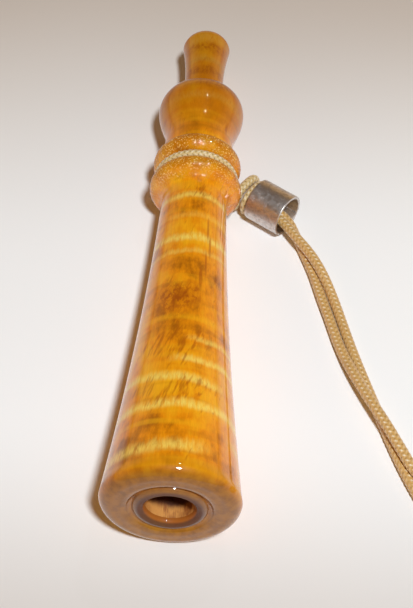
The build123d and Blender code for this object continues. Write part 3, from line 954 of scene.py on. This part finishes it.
def carried_frames(line):
    """Two directions across a line, carried along it with no twist."""
    tangent = np.gradient(line, axis=0)
    tangent /= np.linalg.norm(tangent, axis=1)[:, None]
    across = np.cross(tangent[0], (0.0, 0.0, 1.0))
    if np.linalg.norm(across) < 0.1:
        across = np.cross(tangent[0], (1.0, 0.0, 0.0))
    normals = np.empty_like(line)
    for k, way in enumerate(tangent):
        across = across - way * (across @ way)
        across /= np.linalg.norm(across)
        normals[k] = across
    return normals, np.cross(tangent, normals)


# A yarn's height in the braid: its round, how flat that round is, and its lift where it crosses over
YARN_ROUND = 0.66
YARN_FLATNESS = 0.8
YARN_LIFT = 0.17


def braided_tube(name, line, sizes, diameter, material):
    """A round braid of two crossing sets of yarns, carried along a line."""
    steps = np.linalg.norm(np.diff(line, axis=0), axis=1)
    run = np.concatenate([[0], np.cumsum(steps)])
    normal, binormal = carried_frames(line)
    turn = np.arange(sizes.sides) / sizes.sides
    lay = sizes.carriers * turn[None, :]
    travel = (run / sizes.pick_length)[:, None]
    first, second = lay + travel, lay - travel
    off_first, off_second = first - np.round(first), second - np.round(second)
    lift = np.cos(2 * math.pi * lay)
    height_first = YARN_ROUND * np.cos(math.pi * off_first) ** YARN_FLATNESS + YARN_LIFT * (1 + lift)
    height_second = YARN_ROUND * np.cos(math.pi * off_second) ** YARN_FLATNESS + YARN_LIFT * (1 - lift)
    height = np.maximum(height_first, height_second)
    radius = diameter / 2 - sizes.relief * (1 - height)
    bearing = 2 * math.pi * turn[None, :, None]
    spoke = np.cos(bearing) * normal[:, None, :] + np.sin(bearing) * binormal[:, None, :]
    grid = line[:, None, :] + radius[:, :, None] * spoke
    last = (len(line) - 1) * sizes.sides
    quads = grid_faces(len(line), sizes.sides, False, True)
    caps = (range(sizes.sides), range(last, last + sizes.sides))
    piece = new_piece(name, grid.reshape(-1, 3), quads, caps)
    on_first = height_first >= height_second
    labels = {
        "crest": height,
        "yarn_across": np.where(on_first, off_first, off_second),
        "yarn_along": np.where(on_first, second, first),
        "yarn_facing": np.where(on_first, 1.0, 0.0),
    }
    for label, values in labels.items():
        attribute = piece.data.attributes.new(label, "FLOAT", "POINT")
        attribute.data.foreach_set("value", values.astype(np.float32).ravel())
    piece.data.materials.append(material)
    return piece


def cord_material(name, yarn, gap):
    """Twisted nylon yarns: painted highlights on the crests, fullest on one set of yarns, painted shade in the
    gaps, and fine filaments.
    """
    finish = bpy.context.scene.call_finishes
    material, bench, shader = new_material(name)
    crest, across, along, facing = (
        bench.add("ShaderNodeAttribute", attribute_name=label).outputs["Fac"]
        for label in ("crest", "yarn_across", "yarn_along", "yarn_facing")
    )
    twisted = bench.math("MULTIPLY_ADD", along, 0.35, across)
    place = bench.add("ShaderNodeCombineXYZ", {"X": twisted, "Y": along}).outputs[0]
    filament = bench.noise(place, (14.0, 1.2, 1.0), 2.0)
    uneven = bench.noise(bench.millimetres(), (0.35, 0.35, 0.35), 3.0)
    # Painted shade: darker colour in the braid's low places between the yarns
    base = bench.mix(bench.ramp(crest, 0.42, 0.72), gap, yarn)
    # Painted highlight on the crests, fuller on the yarns of the first set, as if lit from one side
    top = bench.math("MULTIPLY", bench.ramp(crest, 0.8, 0.99), bench.ramp(filament, 0.3, 0.6, 0.6, 1.0))
    top = bench.math("MULTIPLY", top, bench.ramp(facing, 0.0, 1.0, 0.3, 1.0))
    base = bench.mix(top, base, finish.yarn_painted_highlight)
    base = bench.mix(bench.ramp(filament, 0.48, 0.3, 0.0, 0.25), base, gap)
    base = bench.mix(bench.ramp(uneven, 0.52, 0.75, 0.0, 0.22), base, gap)
    look = {
        "Base Color": base,
        "Roughness": bench.ramp(filament, 0.3, 0.7, 0.24, 0.42),
        "Normal": bump(bench, filament, 0.00012, 0.7),
        "Specular IOR Level": 0.75,
        "Sheen Weight": 0.25,
        "Sheen Roughness": 0.4,
    }
    bench.feed(shader, look)
    return material


def by_band(sizes, along, across, height):
    """A point placed along and across the leg band's axis, in metres from millimetres."""
    heading = sizes.band_heading
    x = sizes.band_x + (along * math.cos(heading) - across * math.sin(heading)) / 1000
    y = sizes.band_y + (along * math.sin(heading) + across * math.cos(heading)) / 1000
    return (x, y, height / 1000)


# The neck loop's two strands in millimetres: first along, across and above the leg band, then in the frame
STRAND_OUT_BY_BAND = ((-9.0, -0.4, 4.8), (-2.3, -0.9, 4.6), (4.9, -1.1, 4.35))
STRAND_OUT = (
    (29.4, 12.3, 4.45),
    (33.6, 6.4, 4.45),
    (36.9, 0.2, 4.2),
    (39.6, -6.0, 2.75),
    (42.3, -14.4, 1.75),
    (45.3, -25.4, 1.6),
    (49.4, -38.2, 1.55),
    (54.1, -52.0, 1.55),
    (58.6, -64.4, 1.55),
    (64.0, -75.6, 1.7),
    (67.0, -82.6, 2.15),
    (67.0, -87.2, 2.15),
)
STRAND_BACK_BY_BAND = ((-9.0, 2.7, 4.7), (-2.3, 2.1, 3.5), (5.2, 1.5, 2.7))
STRAND_BACK = (
    (29.9, 14.4, 1.55),
    (32.4, 7.9, 1.55),
    (35.0, 0.6, 1.55),
    (37.2, -7.9, 1.55),
    (39.55, -15.8, 1.55),
    (42.4, -26.2, 1.7),
    (46.0, -35.8, 3.4),
    (50.0, -44.2, 4.4),
    (53.4, -50.6, 4.7),
    (56.6, -57.2, 4.6),
    (59.8, -63.6, 4.2),
    (63.4, -67.3, 4.0),
    (68.2, -69.1, 4.4),
    (74.6, -69.3, 5.0),
    (78.8, -69.19, 5.4),
    (83.39, -69.19, 5.4),
)
# Control points in each half turn of the coil, and the share of their radius at which the line runs
COIL_STEPS = 6
TURN_SCALE = 0.9665
# Points that are read between two control points
WRAP_RESOLUTION = 40
NECK_RESOLUTION = 36


def coil_low(c):
    """Height of the coil's lower turns."""
    return c.floor_gap + c.tie_thickness + c.tie_clearance + c.cord_diameter / 2


def coil_inner(c):
    """Radius of the coil's innermost turn."""
    return c.coil_radius - c.coil_turns * c.coil_pitch - c.coil_climb_step


def coil_route(c):
    """Turns that spiral in below, climb in the half turn at the middle and spiral out above."""
    low = coil_low(c)
    high = low + c.coil_pitch
    step = c.coil_pitch / 2
    inner = coil_inner(c)
    radii = [c.coil_radius - k * step for k in range(c.coil_turns * 2)] + [inner]
    halves = [(a, b, low, low) for a, b in zip(radii, radii[1:])]
    halves.append((inner, inner, low, high))
    halves += [(a, b, high, high) for a, b in zip(radii[::-1], radii[-2::-1])]
    route = []
    side = -1
    for start, end, z_start, z_end in halves:
        middle = c.coil_x + side * (start - end) / 2
        reach = (start + end) / 2 / TURN_SCALE
        for k in range(COIL_STEPS):
            share = (k + 0.5) / COIL_STEPS
            turn = (math.pi if side < 0 else 0) + math.pi * share
            z = z_start + (z_end - z_start) * share
            route.append((middle + reach * math.cos(turn), c.coil_y + reach * math.sin(turn), z))
        side = -side
    reach = (c.coil_radius + step / 2) / TURN_SCALE
    for k in range(COIL_STEPS // 2):
        turn = math.pi * (k + 0.5) / COIL_STEPS
        x = c.coil_x - step / 2 + reach * math.cos(turn)
        route.append((x, c.coil_y + reach * math.sin(turn), high))
    return route


def metres(points):
    """Points in metres, from millimetres."""
    return [tuple(value / 1000 for value in point) for point in points]


def loop_route(c, s):
    """Round the groove from the wraps and back to them."""
    at = stations(s)
    radius = s.groove_radius + c.cord_seat + c.loop_diameter / 2
    place = call_placement()

    def point(turn, reach, beyond=0.0):
        x = reach * math.cos(turn) - beyond * math.sin(turn)
        z = reach * math.sin(turn) + beyond * math.cos(turn)
        return tuple(place @ Vector((x, at.groove - c.loop_shift, z)))

    route = [point(c.loop_leave, radius, -c.loop_drop), point(c.loop_leave, radius, -c.loop_drop / 2)]
    steps = round(c.loop_wrap / math.pi * COIL_STEPS)
    for k in range(steps):
        route.append(point(c.loop_leave + c.loop_wrap * (k + 0.5) / steps, radius / TURN_SCALE))
    end = c.loop_leave + c.loop_wrap
    return route + [point(end, radius, c.loop_run / 2), point(end, radius, c.loop_run)]


def wrap_route(c, start):
    """Two upright turns beside the leg band, each stepping on along the bottom, and a cut tail."""
    second = -c.band_length / 2 - c.wrap_gap - c.cord_diameter / 2
    near = c.wrap_shift - c.wrap_half_length
    far = c.wrap_shift + c.wrap_half_length
    bottom = c.floor_gap + c.cord_diameter / 2
    top = bottom + c.wrap_half_height * 2
    corners = []
    for along in (second - c.wrap_pitch, second):
        corners += [(along, near, bottom), (along, near, top), (along, far, top), (along, far, bottom)]
    corners[-1] = (second, far, top - c.wrap_tail)
    return [start] + [by_band(c, *(value * 1000 for value in corner)) for corner in corners]


def dress(piece, body, slot, *nodes):
    """Rides a finished piece on its body in place of its solids."""
    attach(piece, body)
    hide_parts(*nodes)
    return piece


# Width of the camera's sensor in millimetres, and the floor's drop below the call in metres
SENSOR_WIDTH = 36
FLOOR_DROP = 0.00005


class CALL_OT_stage(bpy.types.Operator):
    """Sets up the floor, the lamps, the room light and the camera"""

    bl_idname = "birdcall.stage"
    bl_label = "Stage"

    def execute(self, context):
        scene = context.scene
        stage = scene.call_stage
        scene.view_settings.view_transform = "Standard"
        self.floor(stage)
        self.room(scene, stage)
        self.lamp(scene, "main_lamp", stage.lamp, stage.lamp_size, stage.lamp_power)
        self.lamp(scene, "small_lamp", stage.spot, stage.spot_size, stage.spot_power)
        self.camera(scene, stage)
        return {"FINISHED"}

    def camera(self, scene, stage):
        """The camera, placed as in the photograph."""
        camera = bpy.data.cameras.new("photo_camera")
        camera.lens = stage.lens
        camera.sensor_width = SENSOR_WIDTH
        holder = bpy.data.objects.new("photo_camera", camera)
        holder.location = stage.camera
        holder.rotation_euler = stage.camera_turn
        scene.collection.objects.link(holder)
        scene.camera = holder

    def lamp(self, scene, name, place, size, power):
        """A round lamp aimed at the call."""
        lamp = bpy.data.lights.new(name, "AREA")
        lamp.shape = "DISK"
        lamp.size = size
        lamp.energy = power
        lamp.color = scene.call_stage.lamp_tint
        holder = bpy.data.objects.new(name, lamp)
        holder.location = place
        way = Vector(scene.call_stage.lamp_aim) - Vector(place)
        holder.rotation_euler = way.to_track_quat("-Z", "Y").to_euler()
        scene.collection.objects.link(holder)

    def floor(self, stage):
        """A floor just below the call, palest beside it, with painted falloff of the light darkening it before,
        beyond and aside.
        """
        half, low = stage.floor_half, -FLOOR_DROP
        corners = np.array([(-half, -half, low), (half, -half, low), (half, half, low), (-half, half, low)])
        floor = new_piece("floor", corners, np.array([[0, 1, 2, 3]]))
        material, bench, shader = new_material("pale_floor")
        parts = bench.add("ShaderNodeSeparateXYZ", {0: bench.millimetres()}).outputs
        faint = bench.noise(bench.millimetres(), (0.004, 0.004, 0.004), 2.0)
        # Painted falloff: the floor darkens beyond, aside and before the call, where the light fades
        beyond = bench.ramp(bench.math("MULTIPLY_ADD", faint, 60.0, parts["Y"]), 28.0, 174.0)
        aside = bench.ramp(bench.math("ABSOLUTE", bench.math("SUBTRACT", parts["X"], 20.0)), 90.0, 320.0)
        front = bench.mix(bench.ramp(parts["Y"], -135.0, -45.0), stage.floor_front_painted_falloff, stage.floor_middle)
        base = bench.mix(bench.math("MAXIMUM", beyond, aside), front, stage.floor_far_painted_falloff)
        bench.feed(shader, {"Base Color": base, "Roughness": 0.7, "Specular IOR Level": 0.2})
        floor.data.materials.append(material)

    def room(self, scene, stage):
        """Soft light from all round, brighter from the sides than from above."""
        world = bpy.data.worlds.new("soft_room")
        world.use_nodes = True
        world.node_tree.nodes.clear()
        bench = NodeBench(world.node_tree)
        way = bench.add("ShaderNodeTexCoord").outputs["Generated"]
        height = bench.add("ShaderNodeSeparateXYZ", {0: way}).outputs["Z"]
        shade = bench.mix(bench.ramp(height, 0.0, 0.7), stage.horizon, stage.ceiling)
        light = bench.add("ShaderNodeBackground", {"Color": shade, "Strength": stage.room_level})
        bench.add("ShaderNodeOutputWorld", {"Surface": light.outputs[0]})
        scene.world = world


class CALL_OT_barrel(bpy.types.Operator):
    """Turns the barrel with its bell, rings, groove and bore"""

    bl_idname = "birdcall.barrel"
    bl_label = "Barrel"

    def execute(self, context):
        sizes = context.scene.call_sizes
        at = stations(sizes)
        rings = (
            (at.near_ring - sizes.pebble_reach, at.groove_from, sizes.near_pebbles),
            (at.groove_to, at.joint, sizes.far_pebbles),
        )
        piece = turn_piece("barrel_wood", barrel_outline(sizes, at), sizes.around, rings)
        wood = wood_material("lacquered_barrel_wood", BARREL_DARK_TONE, BARREL_MARKS)
        piece.data.materials.append(wood)
        piece.data.materials.append(bare_wood())
        dress(piece, "barrel", "turned_wood", "barrel")
        return {"FINISHED"}


class CALL_OT_mouthpiece(bpy.types.Operator):
    """Turns the mouthpiece with its tenon, collar, ball, neck and knob"""

    bl_idname = "birdcall.mouthpiece"
    bl_label = "Mouthpiece"

    def execute(self, context):
        sizes = context.scene.call_sizes
        piece = turn_piece("mouthpiece_wood", mouthpiece_outline(sizes, stations(sizes)), sizes.around)
        wood = wood_material("lacquered_mouthpiece_wood", MOUTHPIECE_DARK_TONE, MOUTHPIECE_MARKS)
        piece.data.materials.append(wood)
        piece.data.materials.append(bare_wood())
        dress(piece, "mouthpiece", "turned_wood", "mouthpiece")
        return {"FINISHED"}


class CALL_OT_reed_unit(bpy.types.Operator):
    """Gives the tone board, the reed, its wedge and the seals their finishes"""

    bl_idname = "birdcall.reed_unit"
    bl_label = "Reed unit"

    def execute(self, context):
        finish = context.scene.call_finishes
        self.coat("tone_board", self.moulded("moulded_insert", finish.plastic, 0.3, 0.5, 0.00004))
        self.coat("reed", self.moulded("reed_film", finish.film, 0.22, 0.4, 0.00002))
        self.coat("reed_wedge", self.cork(finish))
        rubber = self.moulded("seal_rubber", finish.rubber, 0.5, 0.75, 0.00005)
        self.coat("rear_o_ring", rubber)
        self.coat("front_o_ring", rubber)
        return {"FINISHED"}

    def coat(self, node, material):
        """Puts a finish on a solid whose shape is kept."""
        slots = frame["nodes"][node].material_slots
        if not slots:
            raise RuntimeError(f"{node} has no material slot")
        for slot in slots:
            slot.material = material

    def moulded(self, name, shade, smooth, rough, depth):
        """Plain moulded stuff with dusty spots, from its smoothest to its roughest."""
        material, bench, shader = new_material(name)
        scuffs = bench.group(scuff_group(), scale=1.0)
        lighter = scaled(shade, 1.5, 0.02)
        dusty = bench.ramp(scuffs["Dull"], 0.45, 0.75, 0.0, 0.5)
        base = bench.mix(dusty, shade, lighter)
        base = bench.mix(bench.math("MULTIPLY", scuffs["Scratch"], 0.3), base, lighter)
        look = {
            "Base Color": base,
            "Roughness": bench.ramp(scuffs["Dull"], 0.3, 0.7, smooth, rough),
            "Normal": bump(bench, scuffs["Dull"], depth, 0.5),
        }
        bench.feed(shader, look)
        return material

    def cork(self, finish):
        """Raw cork with its grains and dark pits."""
        material, bench, shader = new_material("wedge_cork")
        place = bench.millimetres()
        grains = bench.add("ShaderNodeTexVoronoi", {"Vector": place, "Scale": 1.1}, feature="F1")
        pits = bench.ramp(bench.noise(place, (1.6, 1.6, 1.6), 3.0), 0.58, 0.68)
        tone = bench.mix(0.25, finish.cork, grains.outputs["Color"], "OVERLAY")
        look = {
            "Base Color": bench.mix(pits, tone, finish.umber),
            "Roughness": bench.ramp(grains.outputs["Distance"], 0.0, 0.8, 0.75, 0.95),
            "Normal": bump(bench, pits, 0.0002, -0.6),
        }
        bench.feed(shader, look)
        return material


# Steps round the leg band
BAND_STEPS = 240


class CALL_OT_leg_band(bpy.types.Operator):
    """Bends the plain metal leg band on the doubled cord"""

    bl_idname = "birdcall.leg_band"
    bl_label = "Leg band"

    def execute(self, context):
        c = context.scene.lanyard_sizes
        piece = self.bend(c)
        piece.data.materials.append(self.metal(c, context.scene.call_finishes))
        dress(piece, "leg_band", "band_metal", "leg_band")
        return {"FINISHED"}

    def bend(self, c):
        """The band's rounded section, carried round from one side of the seam to the other."""
        edge = c.band_edge
        inner, outer, half = c.band_radius - c.band_wall, c.band_radius, c.band_length / 2
        section = Outline((outer, -half + edge))
        section.line((outer, half - edge), 24)
        corner = edge * CORNER
        section.arc((outer - corner, half - corner), (outer - edge, half), 5)
        section.line((inner + edge, half), 3)
        section.arc((inner + corner, half - corner), (inner, half - edge), 5)
        section.line((inner, -half + edge), 24)
        section.arc((inner + corner, -half + corner), (inner + edge, -half), 5)
        section.line((outer - edge, -half), 3)
        section.arc((outer - corner, -half + corner), (outer, -half + edge), 5)
        points = np.array(section.points[:-1])
        gap = c.band_seam / 2 / c.band_radius
        turn = c.band_seam_turn + np.linspace(gap, 2 * math.pi - gap, BAND_STEPS)
        up = np.array((0, 0, 1.0))
        axis = np.array((math.cos(c.band_heading), math.sin(c.band_heading), 0))
        side = np.cross(axis, up)
        middle = np.array((c.band_x, c.band_y, c.band_radius + c.floor_gap))
        spoke = np.cos(turn)[:, None] * up + np.sin(turn)[:, None] * side
        dents = c.band_dent * (np.sin(3 * turn + 0.4) + 0.7 * np.sin(7 * turn + 1.9) - 1.7)
        waves = c.band_wave * np.sin(turn * 11 + 2.0)[:, None] * np.sin(points[None, :, 1] * 900 + 0.6)
        radius = points[None, :, 0] + dents[:, None] + waves
        grid = middle + radius[:, :, None] * spoke[:, None, :] + points[None, :, 1, None] * axis
        rows, columns = grid.shape[:2]
        last = (rows - 1) * columns
        caps = (range(columns), range(last, last + columns))
        piece = new_piece("leg_band_metal", grid.reshape(-1, 3), grid_faces(rows, columns, False, True), caps)
        piece.data.set_sharp_from_angle(angle=BAND_SHARP_EDGE)
        return piece

    def metal(self, c, finish):
        """Bare metal, brushed round the band, with worn patches and scratches."""
        material, bench, shader = new_material("leg_band_metal")
        inputs = {"Vector": bench.millimetres(), "Rotation": (0, 0, -c.band_heading)}
        turned = bench.add("ShaderNodeMapping", inputs).outputs[0]
        brushed = bench.noise(turned, (5.0, 0.25, 0.25), 3.0, 0.65)
        scuffs = bench.group(scuff_group(), scale=1.6)
        worn = bench.ramp(scuffs["Dull"], 0.42, 0.68, 0.0, 0.75)
        base = bench.mix(worn, finish.metal, finish.metal_worn)
        base = bench.mix(bench.math("MULTIPLY", scuffs["Scratch"], 0.5), base, finish.metal_scratch)
        dull = bench.ramp(scuffs["Dull"], 0.35, 0.7, 0.27, 0.42)
        height = bench.math("MULTIPLY_ADD", scuffs["Scratch"], -0.5, brushed)
        look = {
            "Base Color": base,
            "Metallic": 1.0,
            "Roughness": bench.math("MULTIPLY_ADD", brushed, 0.16, dull),
            "Normal": bump(bench, height, 0.00003, 0.6),
        }
        bench.feed(shader, look)
        return material


# The strap's points across, its weave's ribs and depth, and where and how far its edges thin
STRAP_STEPS = 33
STRAP_RIBS = 16
STRAP_WEAVE = 0.05
STRAP_EDGE = 0.94
STRAP_THINNING = 0.5


class CALL_OT_lanyard(bpy.types.Operator):
    """Braids the groove loop, the wraps and the neck loop, and ties the coil"""

    bl_idname = "birdcall.lanyard"
    bl_label = "Lanyard"

    def execute(self, context):
        c = context.scene.lanyard_sizes
        loop_line = read_line("loop_route", loop_route(c, context.scene.call_sizes), WRAP_RESOLUTION)
        finish = context.scene.call_finishes
        tan = cord_material("braided_cord", finish.yarn, finish.yarn_shade_and_tone)
        # A paler copy of the same cord, painted light for the groove loop and the wraps
        pale = cord_material("pale_braided_cord", finish.loop_yarn_painted_lighter, finish.loop_yarn_shade_and_tone)
        loop = braided_tube("groove_loop_cord", loop_line, c, c.loop_diameter, pale)
        dress(loop, "barrel", "lanyard_cord", "groove_loop")
        wrap_line = read_line("wrap_route", wrap_route(c, tuple(loop_line[-1])), WRAP_RESOLUTION)
        wraps = braided_tube("lanyard_wraps", wrap_line, c, c.cord_diameter, pale)
        dress(wraps, "barrel", "lanyard_cord", "lanyard_knot")
        tie = self.strap(c, finish)
        dress(tie, "barrel", "tie_cloth", "coil_tie")
        out = [by_band(c, *point) for point in STRAND_OUT_BY_BAND] + metres(STRAND_OUT)
        back = [by_band(c, *point) for point in STRAND_BACK_BY_BAND] + metres(STRAND_BACK)
        line = read_line("neck_route", out + coil_route(c) + back[::-1], NECK_RESOLUTION)
        neck = braided_tube("neck_loop_cord", line, c, c.crest_diameter, tan)
        dress(neck, "barrel", "lanyard_cord", "strand_out", "lanyard_coil", "strand_back")
        return {"FINISHED"}

    def strap(self, c, finish):
        """A woven strap round the coil's bundle."""
        cord = c.cord_diameter / 2
        inner = math.sqrt((coil_inner(c) - cord) ** 2 - (c.tie_width / 2) ** 2) - c.tie_clearance
        outer = c.coil_radius + cord + c.tie_clearance
        half_x = (outer - inner) / 2
        half_z = (c.coil_pitch + c.cord_diameter) / 2 + c.tie_clearance
        middle = (c.coil_x + (inner + outer) / 2, c.coil_y, coil_low(c) + c.coil_pitch / 2)
        loop = Outline((half_x, 0.0))
        bend = cord * CORNER
        for sx, sz in ((1, 1), (-1, 1), (-1, -1), (1, -1)):
            flat, upright = (sx * (half_x - cord), sz * half_z), (sx * half_x, sz * (half_z - cord))
            first, then = (upright, flat) if sx * sz > 0 else (flat, upright)
            loop.line(first, 26 if sx * sz < 0 else 8)
            loop.arc((sx * (half_x - bend), sz * (half_z - bend)), then, 10)
        loop.line((half_x, 0.0), 8)
        ring = np.array(loop.points[:-1])
        along = np.roll(ring, -1, axis=0) - np.roll(ring, 1, axis=0)
        along /= np.linalg.norm(along, axis=1)[:, None]
        out = np.column_stack([along[:, 1], -along[:, 0]])
        rows = len(ring)
        across = np.linspace(-1, 1, STRAP_STEPS)
        over_under = np.cos(np.arange(rows) * math.pi)
        section = [(y, 1.0) for y in across] + [(y, 0.0) for y in across[::-1]]
        width = c.tie_width / 2
        grid = np.empty((rows, len(section), 3))
        for k, (y, layer) in enumerate(section):
            taper = 1 - max(0.0, abs(y) - STRAP_EDGE) / (1 - STRAP_EDGE) * STRAP_THINNING
            weave = STRAP_WEAVE * (over_under * math.cos(y * STRAP_RIBS * math.pi) - 1) * (layer * 2 - 1)
            rise = c.tie_thickness * (0.5 + (layer - 0.5) * taper + weave * 0.5)
            spot = ring + out * rise[:, None]
            grid[:, k, 0] = middle[0] + spot[:, 0]
            grid[:, k, 1] = middle[1] + y * width
            grid[:, k, 2] = middle[2] + spot[:, 1]
        piece = new_piece("coil_strap", grid.reshape(-1, 3), grid_faces(rows, len(section), True, True))
        piece.data.materials.append(self.cloth(finish))
        return piece

    def cloth(self, finish):
        """Plain woven cloth with a little fuzz."""
        material, bench, shader = new_material("woven_strap")
        place = bench.millimetres()
        parts = bench.add("ShaderNodeSeparateXYZ", {0: place}).outputs
        warp = bench.math("SINE", bench.math("MULTIPLY", parts["Y"], 16.0))
        weft = bench.math("SINE", bench.math("MULTIPLY", bench.math("ADD", parts["X"], parts["Z"]), 12.0))
        weave = bench.math("MULTIPLY", warp, weft)
        fuzz = bench.noise(place, (3.0, 3.0, 3.0), 3.0)
        base = bench.mix(bench.ramp(weave, -0.6, 0.8), finish.cloth, scaled(finish.cloth, 1.7))
        base = bench.mix(bench.ramp(fuzz, 0.55, 0.75, 0.0, 0.5), base, scaled(finish.cloth, 0.5))
        look = {
            "Base Color": base,
            "Roughness": bench.ramp(fuzz, 0.3, 0.7, 0.7, 0.9),
            "Normal": bump(bench, weave, 0.00012, 0.5),
            "Sheen Weight": 0.3,
        }
        bench.feed(shader, look)
        return material


class CALL_PT_pieces(bpy.types.Panel):
    """Lists the call's pieces in the sidebar"""

    bl_idname = "CALL_PT_pieces"
    bl_label = "Turned bird call"
    bl_space_type = "VIEW_3D"
    bl_region_type = "UI"
    bl_category = "Bird Call"

    def draw(self, context):
        for operator in OPERATORS:
            self.layout.operator(operator.bl_idname)
        for name, group in GROUPS.items():
            box = self.layout.box()
            box.label(text=group.__doc__)
            for prop in group.__annotations__:
                box.prop(getattr(context.scene, name), prop)


OPERATORS = (
    CALL_OT_stage,
    CALL_OT_barrel,
    CALL_OT_mouthpiece,
    CALL_OT_reed_unit,
    CALL_OT_leg_band,
    CALL_OT_lanyard,
)


def register():
    """Adds the sizes, the operators and the panel."""
    for kind in (*GROUPS.values(), *OPERATORS, CALL_PT_pieces):
        bpy.utils.register_class(kind)
    for name, group in GROUPS.items():
        setattr(bpy.types.Scene, name, bpy.props.PointerProperty(type=group))


def unregister():
    """Takes them away again."""
    for name in GROUPS:
        delattr(bpy.types.Scene, name)
    for kind in (CALL_PT_pieces, *OPERATORS[::-1], *list(GROUPS.values())[::-1]):
        bpy.utils.unregister_class(kind)


def main():
    """Builds every piece."""
    register()
    for operator in OPERATORS:
        family, name = operator.bl_idname.split(".")
        getattr(getattr(bpy.ops, family), name)()


if __name__ == "__main__":
    main()
